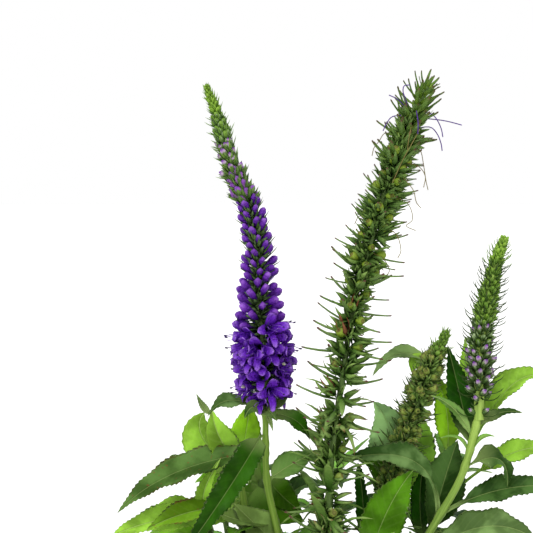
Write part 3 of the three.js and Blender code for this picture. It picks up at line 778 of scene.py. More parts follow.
def blade_points(centre, side, face, half, upper, lower, tip):
    """Points for blade_faces. half and both lifts have a row for each ring and a column across it."""
    flat = centre[:, None] + side[:, None] * half[..., None]
    over = flat + face[:, None] * upper[..., None]
    under = (flat + face[:, None] * lower[..., None])[:, 1:-1]
    return np.vstack([over.reshape(-1, 3), under.reshape(-1, 3), tip[None]])


print("faces of a small blade:", len(blade_faces(4, 3)[0]))

# %% One leaf
PETIOLE = 0.14  # width of the leaf's foot, as a share of its full width
SHOULDER, PLUMP = 0.8, 1.1  # powers that set where a leaf is widest, and how soon it narrows
LEAF_FOLD = 0.28  # how far the margins rise, as a share of the half width
RUFFLE = 0.14  # how far a margin waves, as a share of the half width
TOOTH_PITCH = 1.8  # mm
TOOTH_DEPTH = 0.5  # mm on a full-grown leaf
TEETH_FROM, TEETH_OVER = 0.1, 0.86  # where on the blade the teeth begin, and the share that they cover
TOOTH_LEAN = 0.72  # how far each tooth has its point towards the next notch
NOTCH, POINT = -0.45, 0.55  # how far the margin stands out there, as shares of the tooth's depth
WAVES = (0.07, 0.1)  # how many times a margin waves for each mm of its length
HALF_THICK = 0.16  # mm, along the middle of the blade
RIB_WIDE = 0.09  # share of the half width
RIB_SUNK, RIB_PROUD = 0.14, 0.34  # mm that the midrib is sunk above and stands out below
FULL_LENGTH = 30.0  # mm, past which a leaf counts as full-grown
PLAIN_RINGS = 8  # of a leaf without teeth
FINE_COLUMNS = np.array([-1, -0.8, -0.5, -0.22, -0.07, 0, 0.07, 0.22, 0.5, 0.8, 1])
PLAIN_COLUMNS = np.array([-1, -0.5, 0, 0.5, 1])


def unit(rows):
    return rows / np.linalg.norm(rows, axis=-1, keepdims=True)


def leaf_rings(length, stalk, teeth):
    """Shares of the leaf's length at which its rings lie, and how far the margin stands out at each."""
    if not teeth:
        t = np.linspace(0, 0.97, PLAIN_RINGS)
        return t, np.zeros_like(t)
    count = max(8, round(length * (1 - stalk) * TEETH_OVER / TOOTH_PITCH))
    notches = TEETH_FROM + TEETH_OVER * np.arange(count) / count
    points = notches + TOOTH_LEAN * TEETH_OVER / count
    blade = np.concatenate([[0, 0.05], np.stack([notches, points], 1).ravel(), [0.965]])
    bite = np.concatenate([[0, 0], np.tile([NOTCH, POINT], count), [0]])
    foot = np.linspace(0, stalk, 5)[:-1] if stalk else np.zeros(0)
    return np.concatenate([foot, stalk + (1 - stalk) * blade]), np.concatenate([np.zeros(len(foot)), bite])


def grow_leaf(leaf, rng, fine=True):
    """Points, faces and the numbers that the finishes read, for one leaf."""
    foot, middle, tip = (np.array(leaf[key], float) for key in ("foot", "middle", "tip"))
    stalk, lit = leaf["stalk"], leaf.get("lit", rng.uniform(-0.6, 0.6))
    length = np.linalg.norm(middle - foot) + np.linalg.norm(tip - middle)
    t, bite = leaf_rings(length, stalk, fine)
    columns = FINE_COLUMNS if fine else PLAIN_COLUMNS
    bow = 2 * middle - foot / 2 - tip / 2
    s = t[:, None]
    centre = (1 - s) ** 2 * foot + 2 * s * (1 - s) * bow + s**2 * tip
    along = unit(2 * (1 - s) * (bow - foot) + 2 * s * (tip - bow))
    side = unit(np.cross(along, leaf["look"]))
    face = np.cross(side, along)
    blade = np.clip((t - stalk) / (1 - stalk), 0, 1)
    belly = np.sin(math.pi * blade ** leaf.get("shoulder", SHOULDER)) ** leaf.get("plump", PLUMP)
    half = leaf["width"] / 2 * (leaf.get("petiole", PETIOLE) * (1 - blade) + belly)
    v = np.abs(columns)
    young = min(1, length / FULL_LENGTH)
    tooth = bite * TOOTH_DEPTH * young * np.sin(math.pi * np.clip(blade, 0.02, 0.98)) ** 0.4
    width = columns * half[:, None] + np.sign(columns) * (v >= 1) * tooth[:, None]
    turns = length * rng.uniform(*WAVES)
    ripple = np.sin(s * turns * math.tau + rng.uniform(0, 6) + (columns > 0) * rng.uniform(1, 4))
    wave = leaf.get("ruffle", RUFFLE) * half[:, None] * ripple * v**2
    rib = np.exp(-((columns / RIB_WIDE) ** 2)) * (1 - 0.7 * s)
    fold = leaf.get("fold", LEAF_FOLD) * v * half[:, None] + wave
    thick = HALF_THICK * (1 - v**2)
    upper = fold + thick - RIB_SUNK * rib * young
    lower = fold - thick - RIB_PROUD * rib * young
    points = blade_points(centre, side, face, width, upper, lower, tip)
    faces, under = blade_faces(len(t), len(columns))
    # tone: a random tone for the whole leaf, with the half chosen by lit painted lighter, as if it caught the
    # light.
    tone = rng.uniform(0.3, 0.7) + 0.5 * lit * np.sign(columns)

    def dealt(grid, at_tip):
        grid = np.broadcast_to(grid, fold.shape)
        return np.concatenate([grid.ravel(), grid[:, 1:-1].ravel(), [at_tip]])

    numbers = {
        "along": dealt(s * length, length),
        "across": dealt(v * half[:, None], 0),
        "edge": dealt(v, 1),
        "tone": dealt(np.clip(tone, 0, 1), 0.5),
    }
    return points, faces, under, numbers


print("rings of a leaf of full length:", len(leaf_rings(FULL_LENGTH, 0, True)[0]))

# %% Leaves joined into one mesh for each mass
AXIL_BELOW = 57  # mm: side shoots stand in the leafy lower part, clear of the spikes
AXIL_UP = 1.5  # mm that a side shoot stands above its leaf
AXIL_TURNS = (-62, 0, 64)  # degrees of its leaves to each side of the leaf that it stands behind
AXIL_LONG, AXIL_RISE, AXIL_DROOP = (8, 13), (44, 66), 50  # mm, and degrees
AXIL_GREENS = ("soft", "mid", "fresh")


def settle(piece, node, slot_name):
    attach(piece, "root")
    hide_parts(node)
    return piece


def piece_from(name, points, faces, numbers, finishes, slots, node, slot_name):
    """Makes a finished piece from points in mm, and hides the solid that it stands for."""
    mesh = bpy.data.meshes.new(name)
    mesh.from_pydata((points * MM).tolist(), [], faces)
    for material in finishes:
        mesh.materials.append(material)
    mesh.polygons.foreach_set("material_index", np.array(slots, np.int32))
    for key, values in numbers.items():
        mesh.attributes.new(key, "FLOAT", "POINT").data.foreach_set("value", values.astype(np.float32))
    mesh.shade_smooth()
    piece = bpy.data.objects.new(name, mesh)
    bpy.context.scene.collection.objects.link(piece)
    return settle(piece, node, slot_name)


def axil_leaves(shoot, leaf, rng):
    """The small leaves of the side shoot in a leaf's axil."""
    foot = foot_of(shoot, min(leaf["height"] + AXIL_UP, shoot["cuts"][-1] - 1), leaf["out"])
    lean = math.degrees(math.atan2(leaf["out"][1], leaf["out"][0]))
    for turned in AXIL_TURNS:
        out = heading_of(lean + turned + rng.uniform(-10, 10))
        long, rise = rng.uniform(*AXIL_LONG), rng.uniform(*AXIL_RISE)
        yield ruled_leaf(foot, out, long, rise, AXIL_DROOP, str(rng.choice(AXIL_GREENS)))


def grown_mass(mass, rng):
    """The leaves of a mass as points, faces, numbers and finishes, and which finish each face has."""
    leaves = [(leaf, True) for leaf in mass["leaves"]]
    for leaf in mass["leaves"]:
        if leaf["height"] < AXIL_BELOW:
            leaves += [(small, False) for small in axil_leaves(mass["shoot"], leaf, rng)]
    greens = list(dict.fromkeys(leaf["green"] for leaf, _ in leaves))
    points, faces, slots, numbers, start = [], [], [], [], 0
    for leaf, fine in leaves:
        p, f, under, n = grow_leaf(leaf, rng, fine)
        points.append(p)
        faces += [tuple(i + start for i in face) for face in f]
        slots += [2 * greens.index(leaf["green"]) + u for u in under]
        numbers.append(n)
        start += len(p)
    joined = {key: np.concatenate([n[key] for n in numbers]) for key in numbers[0]}
    return np.vstack(points), faces, joined, [m for green in greens for m in leaf_finishes[green]], slots


triangles = 0
for number, (node, mass) in enumerate(masses.items()):
    grown = grown_mass(mass, np.random.default_rng(100 + number))
    piece_from(node.replace("leaves", "foliage"), *grown, node, "leaves")
    triangles += sum(len(face) - 2 for face in grown[1])
print("foliage triangles:", triangles)

# %% [markdown]
# ## Stems
# The stems are round, firm and green, a little ridged, and swell where a pair of leaves sits. Each is a
# profile swept along a curve, which Geometry Nodes do in one go: the points of the curve carry their own
# thickness. The sweep also stores a grain, which runs round the stem quickly and along it slowly, so that
# noise read through it gives ridges and streaks that follow a leaning stem.

# %% Small helpers for geometry trees


class Growth(Graph):
    """A geometry tree with named inputs."""

    KINDS = {
        "Geometry": "NodeSocketGeometry", "Object": "NodeSocketObject", "Material": "NodeSocketMaterial",
        "Float": "NodeSocketFloat", "Int": "NodeSocketInt",
    }

    def __init__(self, name, **inputs):
        super().__init__(bpy.data.node_groups.new(name, "GeometryNodeTree"))
        self.keys = {}
        for label, kind in {"Geometry": "Geometry", **inputs}.items():
            words = label.replace("_", " ")
            socket = self.tree.interface.new_socket(words, in_out="INPUT", socket_type=self.KINDS[kind])
            self.keys[words] = socket.identifier
        self.tree.interface.new_socket("Geometry", in_out="OUTPUT", socket_type="NodeSocketGeometry")
        self.entry = self.tree.nodes.new("NodeGroupInput")

    def given(self, name):
        return Wire(self, self.entry.outputs[name])

    def named(self, name, kind="FLOAT"):
        return self.node("GeometryNodeInputNamedAttribute", {"data_type": kind}, {"Name": name})

    def stored(self, geometry, name, value, kind="FLOAT", domain="POINT"):
        settings = {"data_type": kind, "domain": domain}
        sockets = {"Geometry": geometry, "Name": name, "Value": value}
        return self.node("GeometryNodeStoreNamedAttribute", settings, sockets)

    def finish(self, geometry):
        """Ends the tree: instances are made real, and the finish is set."""
        geometry = self.node("GeometryNodeRealizeInstances", {}, {"Geometry": geometry})
        sockets = {"Geometry": geometry, "Material": self.given("Finish")}
        geometry = self.node("GeometryNodeSetMaterial", {}, sockets)
        self.node("NodeGroupOutput", {}, {"Geometry": geometry})

    def grow(self, name, seed_mesh, node, slot_name, **values):
        """Runs the tree on a mesh, turns the result into a plain mesh and settles it as a piece."""
        piece = bpy.data.objects.new(name, seed_mesh)
        bpy.context.scene.collection.objects.link(piece)
        modifier = piece.modifiers.new("growth", "NODES")
        modifier.node_group = self.tree
        for key, value in values.items():
            modifier[self.keys[key.replace("_", " ")]] = value
        graph = bpy.context.evaluated_depsgraph_get()
        made = bpy.data.meshes.new_from_object(piece.evaluated_get(graph))
        piece.modifiers.remove(modifier)
        piece.data = made
        made.name = name
        return settle(piece, node, slot_name)


def line_mesh(name, strings, **numbers):
    """Points joined into open strings, with whole numbers, lengths or vectors on the points."""
    mesh = bpy.data.meshes.new(name)
    edges, start = [], 0
    for string in strings:
        edges += [(start + i, start + i + 1) for i in range(len(string) - 1)]
        start += len(string)
    mesh.from_pydata((np.vstack(strings) * MM).tolist(), edges, [])
    for key, values in numbers.items():
        whole, vectors = values.dtype.kind == "i", values.ndim == 2
        kind = "INT" if whole else "FLOAT_VECTOR" if vectors else "FLOAT"
        values = values.astype(np.int32 if whole else np.float32).ravel()
        mesh.attributes.new(key, kind, "POINT").data.foreach_set("vector" if vectors else "value", values)
    return mesh


print("kinds of input:", len(Growth.KINDS))

# %% The tree that sweeps a stem
GRAIN_ROUND, GRAIN_ALONG = 2, 60  # how fast the grain runs across a stem, and along each metre of it

stem_tree = Growth("swept_stem", Sides="Int", Ridge="Float", Finish="Material")
curve = stem_tree.node("GeometryNodeMeshToCurve", {}, {"Mesh": stem_tree.given("Geometry")})
curve = stem_tree.stored(curve, "travelled", stem_tree.node("GeometryNodeSplineParameter", {}, {}, "Length"))
sockets = {"Resolution": stem_tree.given("Sides"), "Radius": 1.0}
ring = stem_tree.node("GeometryNodeCurvePrimitiveCircle", {}, sockets)
ring = stem_tree.stored(ring, "round", stem_tree.node("GeometryNodeInputPosition"), "FLOAT_VECTOR")
sweep = {"Curve": curve, "Profile Curve": ring, "Scale": stem_tree.named("girth"), "Fill Caps": True}
tube = stem_tree.node("GeometryNodeCurveToMesh", {}, sweep)
drawn_out = stem_tree.node("ShaderNodeCombineXYZ", {}, {"Z": stem_tree.named("travelled") * GRAIN_ALONG})
across = stem_tree.scaled(stem_tree.named("round", "FLOAT_VECTOR"), GRAIN_ROUND)
grain = stem_tree.vector("ADD", across, drawn_out)
tube = stem_tree.stored(tube, "grain", grain, "FLOAT_VECTOR")
ridges = stem_tree.node("ShaderNodeTexNoise", {}, {"Vector": grain, "Scale": 1.0, "Detail": 2.0})
push = (ridges - 0.5) * stem_tree.given("Ridge")
offset = stem_tree.scaled(stem_tree.node("GeometryNodeInputNormal"), push)
tube = stem_tree.node("GeometryNodeSetPosition", {}, {"Geometry": tube, "Offset": offset})
stem_tree.finish(stem_tree.node("GeometryNodeSetShadeSmooth", {}, {"Geometry": tube}))
print("nodes in the stem tree:", len(stem_tree.tree.nodes))

# %% Stem finish
GROUND_BROWN = 22.0  # mm: below this height the stems turn brownish
PALER_FROM, PALER_TO = 0.07, 0.1  # metres up, between which a stem that has a paler top turns to it


def stem_finish(name, green, pale, brown, paler_top=0):
    material, graph = begin(name)
    height = graph.node("ShaderNodeSeparateXYZ", {}, {"Vector": place_of(graph)}, "Z")
    sizes = {"Vector": attribute(graph, "grain", "Vector"), "Scale": 1.3, "Detail": 3.0}
    streaks = graph.node("ShaderNodeTexNoise", {}, sizes).ramp(0.3, 0.7)
    colour = graph.mix(streaks * 0.35 + 0.1 + height.ramp(PALER_FROM, PALER_TO) * paler_top, green, pale)
    low = 1 - (height + speckle(graph, 6.0) * 0.01).ramp(0.35 * GROUND_BROWN * MM, GROUND_BROWN * 1.6 * MM)
    colour = graph.mix(low, colour, brown)
    relief = streaks * 0.4 + speckle(graph, 0.5, 1.0) * 0.3
    end(graph, colour, 0.48 + streaks * 0.12, relief, depth=0.08, shine=0.15)
    return material


stem_green = stem_finish("stem_green", tint(96, 132, 40), tint(168, 196, 92), tint(112, 96, 58))
# stem_dull_and_shaded is greyer and darker: the duller green of the stems gone to seed, and painted shade on
# the stems that stand back in the clump.
stem_dull_and_shaded = stem_finish("stem_dull_and_shaded", tint(82, 108, 52), tint(120, 144, 84), tint(104, 88, 56))
stem_fresh = stem_finish("stem_fresh", tint(94, 126, 46), tint(168, 198, 94), tint(112, 96, 58), 0.5)
print("stem finishes:", stem_green.name, stem_dull_and_shaded.name, stem_fresh.name)

# %% Sweep every stem from the rootstock to its tip
STEM_STEP = 1.6  # mm between rings
SWELL, SWELL_REACH = 0.32, 1.3  # mm that a stem is thicker under a pair of leaves, and how far that reaches
SLENDER, SLENDER_BUD = 0.7, 0.62  # a real stem is thinner than its solid, and that of the bud most of all
TAPER = 0.012  # share of its length over which a stem without a spike narrows to its tip
STEM_FINISHES = {"bud": stem_fresh, "bloom": stem_green, "left": stem_green}

for name, shoot in SHOOTS.items():
    curve, (low, high) = shoot["curve"], shoot["thick"]
    t = np.linspace(0, 1, round(curve.length / STEM_STEP))
    line = curve.at(t)
    girth = (low + (high - low) * t) * (SLENDER_BUD if name == "bud" else SLENDER)
    nodes = np.array([leaf["height"] for leaf in shoot["grown"]])
    girth += SWELL * np.exp(-(((line[:, 2:] - nodes) / SWELL_REACH) ** 2)).max(axis=1)
    if name not in ("bud", "seed", "bloom", "short"):
        girth *= np.clip((1 - t) / TAPER, 0.35, 1)
    strings = line_mesh(name, [line], girth=girth * MM)
    values = {"Sides": 14, "Ridge": 0.07 * MM, "Finish": STEM_FINISHES.get(name, stem_dull_and_shaded)}
    stem_tree.grow(f"stalk_{name}", strings, f"stem_{name}", "stems", **values)
print("stems:", len(SHOOTS))

# %% [markdown]
# ## Rootstock
# At ground level the stems crowd together on a short woody stock, knobbly with the scars of older stems.
# A turned shape with lobes round its foot gives its form, and folds of noise its bark.

# %% Closed bodies from rings of points


def band_faces(rings, sides, start=0):
    """The faces between rings of points that are numbered on from start."""
    corner = start + np.arange(rings * sides).reshape(rings, sides)
    turned = np.roll(corner, -1, 1)
    quads = np.stack([corner[:-1], turned[:-1], turned[1:], corner[1:]], 2)
    return [tuple(quad) for quad in quads.reshape(-1, 4).tolist()]


def round_body(foot, heights, radii, top):
    """Points and faces of a closed body round Z. radii has a row for each ring, and a column round it."""
    rings, sides = radii.shape
    angles = np.linspace(0, math.tau, sides, False)
    points = np.stack([radii * np.cos(angles), radii * np.sin(angles), heights + 0 * angles], 2)
    pairs = [(i + 1, (i + 1) % sides + 1) for i in range(sides)]
    lift, last = (rings - 1) * sides, rings * sides + 1
    faces = [(0, b, a) for a, b in pairs] + band_faces(rings, sides, 1)
    faces += [(a + lift, b + lift, last) for a, b in pairs]
    return np.vstack([[(0, 0, foot)], points.reshape(-1, 3), [(0, 0, top)]]), faces


print("faces of a drum:", len(round_body(0, np.array([[0], [1]]), np.ones((2, 6)), 1)[1]))

# %% Shape the rootstock
FOOT, WAIST, HEIGHT = 17.0, 13.0, 9.5  # mm: radius at the ground, radius above it, and height
LOBES, LOBE_DEPTH = 7, 0.12
STOCK_RINGS, STOCK_SIDES = 34, 96
profile = [(0, 0), (FOOT, 0), (WAIST + 1.4, HEIGHT * 0.26), (WAIST, HEIGHT * 0.55)]
profile += [(WAIST * 0.74, HEIGHT * 0.85), (0, HEIGHT)]
reach = np.concatenate([[0], np.cumsum([math.dist(a, b) for a, b in zip(profile, profile[1:])])])
read = np.concatenate([[FOOT * 0.5], np.linspace(FOOT, reach[-1] - 0.6, STOCK_RINGS)])
radii = np.interp(read, reach, [r for r, _ in profile])[:, None]
heights = np.interp(read, reach, [z for _, z in profile])[:, None]
angles = np.linspace(0, math.tau, STOCK_SIDES, False)
low = np.clip(1 - heights / (HEIGHT * 0.6), 0, 1)
knobs = 0.35 * np.sin(angles * 5 + heights * 0.9) + 0.25 * np.sin(angles * 11 - heights * 1.3)
bark = (0.22 * np.sin(angles * 31 + heights * 0.5) + knobs) * np.clip(heights, 0, 1)
knobbly = radii * (1 + LOBE_DEPTH * low * np.cos(LOBES * angles)) + bark * np.clip(radii / 6, 0, 1)
points, faces = round_body(0, heights, knobbly, HEIGHT)

stock_finish, graph = begin("woody_stock")
drawn_out = graph.vector("MULTIPLY", place_of(graph), (700, 700, 220))
sizes = {"Vector": drawn_out, "Scale": 1.0, "Detail": 5.0}
fibres = graph.node("ShaderNodeTexNoise", {}, sizes).ramp(0.35, 0.65)
colour = graph.mix(fibres, tint(74, 58, 38), tint(136, 114, 82))
colour = graph.mix(speckle(graph, 7.0) * 0.4, colour, tint(92, 100, 58))
end(graph, colour, 0.75 + fibres * 0.15, fibres, depth=0.5, shine=0.25)
piece_from("stock", points, faces, {}, [stock_finish], [0] * len(faces), "rootstock", "rootstock")
print("rootstock faces:", len(faces))

# %% [markdown]
# ## Flower spikes
# A spike is a rod set all round with flowers, each turned from the last by the golden angle of about
# 137.5 degrees, so that no two stand straight above each other. They open from the foot upwards: open
# flowers, then fat buds, then green ones, each in a calyx of four sepals over a narrow bract. That rule
# is a Geometry Nodes tree here: the places along the axis carry their number, and the tree turns, lifts
# and sizes one small shape on each of them. Each kind of organ is a run of the same tree.

# %% The tree that sets organs round an axis
GOLDEN_TURN = 137.5
DEGREE = math.pi / 180
inputs = {"Shape": "Object", "Golden_turn": "Float", "Wobble": "Float", "Spread": "Float", "Seed": "Int"}
spiral = Growth("organs_round_an_axis", **inputs, Finish="Material")


def draw(shift, low=-1.0):
    """A random number up to 1 for each organ, the same for organs of one number in runs with one seed."""
    number, seed = spiral.named("number", "INT"), spiral.given("Seed") + shift
    return spiral.node("FunctionNodeRandomValue", {}, {"Min": low, "Max": 1.0, "ID": number, "Seed": seed})


along, front = spiral.named("along_axis", "FLOAT_VECTOR"), spiral.named("front", "FLOAT_VECTOR")
side = spiral.vector("CROSS_PRODUCT", along, front)
wobble = spiral.given("Wobble")
turn = (spiral.named("number", "INT") * spiral.given("Golden turn") + draw(1) * wobble) * DEGREE
lift = spiral.named("lift") + draw(2) * wobble * DEGREE
out = spiral.vector("ADD", spiral.scaled(front, turn.cosine()), spiral.scaled(side, turn.sine()))
aim = spiral.vector("ADD", spiral.scaled(out, lift.cosine()), spiral.scaled(along, lift.sine()))
axes = {"Primary Axis": aim, "Secondary Axis": spiral.vector("CROSS_PRODUCT", along, out)}
rotation = spiral.node("FunctionNodeAxesToRotation", {"primary_axis": "Z", "secondary_axis": "X"}, axes)
size = spiral.scaled(spiral.named("size", "FLOAT_VECTOR"), draw(3) * spiral.given("Spread") + 1)
shape = spiral.node("GeometryNodeObjectInfo", {}, {"Object": spiral.given("Shape")}, "Geometry")
sockets = {"Points": spiral.given("Geometry"), "Instance": shape, "Rotation": rotation, "Scale": size}
organs = spiral.node("GeometryNodeInstanceOnPoints", {}, sockets)
organs = spiral.stored(organs, "tone", draw(4, 0.0), domain="INSTANCE")
for key in ("number", "along_axis", "front", "lift", "size"):
    organs = spiral.node("GeometryNodeRemoveAttribute", {}, {"Geometry": organs, "Name": key})
spiral.finish(organs)
print("nodes in the spiral tree:", len(spiral.tree.nodes))

# %% Tables of the spikes
# The rows are [share of the length, value]. core: radius of the axis. reach: how far flowers stand out.
# gap: from one flower to the next. bract: length of the bract. lift, bract_lift: degrees up from square.
# first: the number of the lowest flower where it isn't 0, which sets where the spiral starts.
FIRST_UP, LAST_DOWN = 0.8, 0.6  # mm from the foot of the axis and from its tip that stay bare
SPIKES = {
    "bloom": {
        "path": [(-18.5, -8, 103.5), (-19, -8, 117.5), (-20.5, -8, 136.5), (-21, -8, 152.5),
                 (-23.5, -7, 165.5), (-29, -7, 179), (-33, -6, 193), (-37, -6, 204)],
        "core": [(0, 1.3), (0.25, 1.1), (0.6, 1.1), (0.9, 0.8), (1, 0.6)],
        "reach": [(0, 8.2), (0.05, 9), (0.2, 9.2), (0.235, 8.6), (0.25, 7.6), (0.3, 8.1), (0.325, 8.1),
                  (0.345, 7), (0.38, 5.9), (0.42, 5), (0.5, 5), (0.55, 4.6), (0.61, 4), (0.68, 3.4),
                  (0.8, 2.6), (0.86, 2.1), (0.93, 1.5), (1, 0.8)],
        "gap": [(0, 0.54), (0.235, 0.54), (0.25, 0.48), (0.6, 0.42), (0.85, 0.32), (1, 0.2)],
        "bract": [(0, 5), (0.3, 7), (0.45, 7.6), (0.6, 6.8), (0.74, 6.0), (0.86, 5.2), (0.95, 4.0), (1, 2)],
        "lift": [(0, 0), (0.235, 8), (0.25, 18), (0.34, 30), (0.42, 44), (0.6, 52), (1, 60)],
        "bract_lift": [(0, 10), (0.3, 24), (0.6, 34), (0.9, 38), (1, 60)],
    },
    "seed": {
        "path": [(1, -15, 59.5), (1.5, -15, 74.5), (3, -15, 94), (5.5, -15, 110.5), (8, -15, 128),
                 (12, -14, 147), (18, -13, 167), (24.5, -12, 185.5), (29.6, -12, 199.3), (32.2, -12, 204.3)],
        "core": [(0, 1.1), (0.5, 0.9), (0.85, 1.3), (1, 1)],
        "reach": [(0, 7.4), (0.2, 7.4), (0.45, 7.2), (0.6, 7.3), (0.8, 6.6), (0.9, 5.0), (1, 2.6)],
        "gap": [(0, 1.1), (0.1, 1.3), (0.3, 1.3), (0.5, 1), (0.68, 0.65), (0.85, 0.42),
                (0.95, 0.28), (1, 0.22)],
        "bract": [(0, 16), (0.12, 15), (0.2, 13), (0.45, 14.2), (0.58, 13), (0.68, 10), (0.8, 9.4),
                  (0.92, 9), (1, 5.4)],
        "lift": [(0, 18), (0.6, 24), (0.8, 30), (1, 66)],
        "bract_lift": [(0, -2), (0.4, 4), (0.6, 14), (0.75, 22), (0.88, 28), (0.95, 36), (1, 62)],
    },
    "short": {
        "path": [(20, 4, 71), (23, 4, 82), (27.5, 4, 92), (30.5, 4, 103), (34.5, 4, 113), (40, 4, 125)],
        "core": [(0, 1.4), (0.5, 1.5), (0.8, 1.2), (1, 1)],
        "reach": [(0, 4.4), (0.45, 4.9), (0.7, 4.9), (0.8, 4.0), (0.86, 3.2), (0.92, 2.0), (1, 1.3)],
        "gap": [(0, 0.36), (0.6, 0.34), (0.85, 0.26), (1, 0.16)],
        "bract": [(0, 9.6), (0.3, 9), (0.6, 8), (0.85, 6.2), (0.93, 4.8), (1, 3)],
        "lift": [(0, 16), (0.7, 26), (1, 50)],
        "bract_lift": [(0, 8), (0.6, 24), (0.85, 40), (1, 66)],
    },
    "bud": {
        "path": [(50, -3, 97.8), (50, -3, 117), (51, -3, 128), (53.5, -2, 141), (55.6, -2, 149.4),
                 (57.8, -2, 155.6)],
        "core": [(0, 1.7), (0.1, 1.6), (0.3, 2.2), (0.6, 2.0), (0.85, 1.3), (1, 0.9)],
        "reach": [(0, 3.6), (0.09, 4.5), (0.25, 4.8), (0.37, 4.5), (0.5, 4.1), (0.62, 3.6), (0.75, 2.8),
                  (0.87, 2.0), (1, 1.1)],
        "gap": [(0, 0.4), (0.016, 0.4), (0.02, 4.2), (0.06, 0.5), (0.2, 0.4), (0.4, 0.32), (0.7, 0.24),
                (1, 0.14)],
        "bract": [(0, 7.6), (0.25, 7.8), (0.6, 6.8), (0.87, 5.2), (0.95, 3.4), (1, 1.4)],
        "lift": [(0, 30), (0.4, 42), (1, 60)],
        "bract_lift": [(0, 4), (0.5, 12), (0.9, 24), (1, 56)],
        "first": 2,
    },
}


def between(rows, share):
    return np.interp(share, [s for s, _ in rows], [v for _, v in rows])


def places_of(spike):
    """Where organs spring from the axis, lowest first."""
    curve = Path(spike["path"])
    ups, up = [], FIRST_UP
    while up < curve.length - LAST_DOWN:
        ups.append(up)
        up += between(spike["gap"], up / curve.length)
    share = np.array(ups) / curve.length
    t = curve.share_at_length(np.array(ups))
    along = curve.along(t)
    number = spike.get("first", 0) + np.arange(len(share))
    facings = {"along_axis": along, "front": across_of(along)}
    return {"share": share, "point": curve.at(t), "number": number, **facings}


for name, spike in SPIKES.items():
    spike["places"] = places_of(spike)
    print(name, "organs:", len(spike["places"]["share"]))

# %% Small shapes: pods, blades and threads
# Each is made once along +Z with a number, rise, that runs from 0 at its foot to 1 at its tip, and is
# then set in its hundreds. So each has only a few dozen faces.
THREAD_SIDES = 3


def pod(rows, sides, star=0.0):
    """A closed round body from rows of (height, radius); star pinches it into four."""
    heights, radii = np.array(rows[1:-1]).T[:, :, None]
    pinch = 1 + star * np.cos(4 * np.linspace(0, math.tau, sides, False))
    points, faces = round_body(rows[0][0], heights, radii * pinch, rows[-1][0])
    rise = (points[:, 2] - points[:, 2].min()) / np.ptp(points[:, 2])
    return points, faces, rise


def blade(spine, halves, heading, thick, cup, columns=(-1, 0, 1)):
    """A thin closed blade along rows of (distance from the axis, height), turned to a heading round Z."""
    spine, columns = np.array(spine, float), np.array(columns, float)
    rows = spine[:-1]
    way = unit(np.gradient(spine, axis=0)[:-1])
    centre = np.stack([0 * rows[:, 0], rows[:, 0], rows[:, 1]], 1)
    face = np.stack([0 * way[:, 0], -way[:, 1], way[:, 0]], 1)
    side = np.tile([1.0, 0, 0], (len(rows), 1))
    half = np.array(halves, float)[:, None] * columns
    lift = cup * np.abs(half) * np.abs(columns)
    body = thick / 2 * (1 - columns**2)
    tip = np.array([0, *spine[-1]])
    points = blade_points(centre, side, face, half, lift + body, lift - body, tip)
    steps = np.linspace(0, 1, len(spine))
    rise = np.concatenate([np.repeat(steps[:-1], len(columns)), np.repeat(steps[:-1], len(columns) - 2), [1]])
    c, s = math.cos(heading), math.sin(heading)
    turned = points @ np.array([[c, -s, 0], [s, c, 0], [0, 0, 1]]).T
    return turned, blade_faces(len(rows), len(columns))[0], rise


def thread(spine, radius):
    """A fine thread through points, closed at both ends."""
    spine = np.array(spine, float)
    way = unit(np.gradient(spine, axis=0))
    one = unit(np.cross(way, [0.31, 0.17, 0.93]))
    two = np.cross(way, one)
    angles = np.linspace(0, math.tau, THREAD_SIDES, False)[:, None]
    ring = one[:, None] * np.cos(angles) + two[:, None] * np.sin(angles)
    points = (spine[:, None] + radius * ring).reshape(-1, 3)
    corners = tuple(range(len(points)))
    faces = band_faces(len(spine), THREAD_SIDES)
    faces += [corners[:THREAD_SIDES][::-1], corners[-THREAD_SIDES:]]
    return points, faces, np.repeat(np.linspace(0, 1, len(spine)), THREAD_SIDES)


def joined(*parts):
    points, faces, rise, start = [], [], [], 0
    for p, f, r in parts:
        points.append(p)
        faces += [tuple(i + start for i in face) for face in f]
        rise.append(r)
        start += len(p)
    return np.vstack(points), faces, np.concatenate(rise)


shapes = {}


def keep_shape(name, part):
    """Keeps a small shape as an object in mm; the tree scales it to metres."""
    points, faces, rise = part
    mesh = bpy.data.meshes.new(name)
    mesh.from_pydata(points.tolist(), [], faces)
    mesh.attributes.new("rise", "FLOAT", "POINT").data.foreach_set("value", rise.astype(np.float32))
    mesh.shade_smooth()
    shapes[name] = bpy.data.objects.new(name, mesh)
    bpy.context.scene.collection.objects.link(shapes[name])
    print(name, "faces:", len(faces))

# %% Organs of the flowers
QUARTERS = [math.radians(a) for a in (0, 90, 180, 270)]
BROAD = (-1, -0.5, 0, 0.5, 1)  # columns of a blade wide enough to show its cup
CALYX = [(0.5, 1.2), (1.1, 2.3), (1.35, 3.5), (1.25, 4.9)]
ANTHER = [(-0.65, 0), (-0.35, 0.26), (0.2, 0.3), (0.65, 0)]
SEPAL = [(0.5, 1.6), (1.5, 2.5), (2.1, 3.8), (2.2, 5.2), (1.8, 6.9)]
SPREAD_SEPAL = [(0.5, 1.6), (1.9, 2.1), (3.1, 3.3), (3.8, 4.9)]


def lobe(heading, wide, long, open_out):
    """A petal from the tube's foot; open_out moves its tip away from the flower's middle."""
    spine = [
        (0.45, 2.0), (0.8, 3.6), (1.3, 5.0), (2.1 + 0.4 * open_out, 6.4), (2.9 + open_out, 7.4),
        (3.5 + 1.8 * open_out, 8.1 - 0.4 * open_out), (3.6 + 2.2 * open_out, 8.5 * long - 0.8 * open_out),
    ]
    return blade(spine, [0.45, 0.85, 1.2, 1.5 * wide, 1.4 * wide, 0.95 * wide], heading, 0.14, 0.45, BROAD)


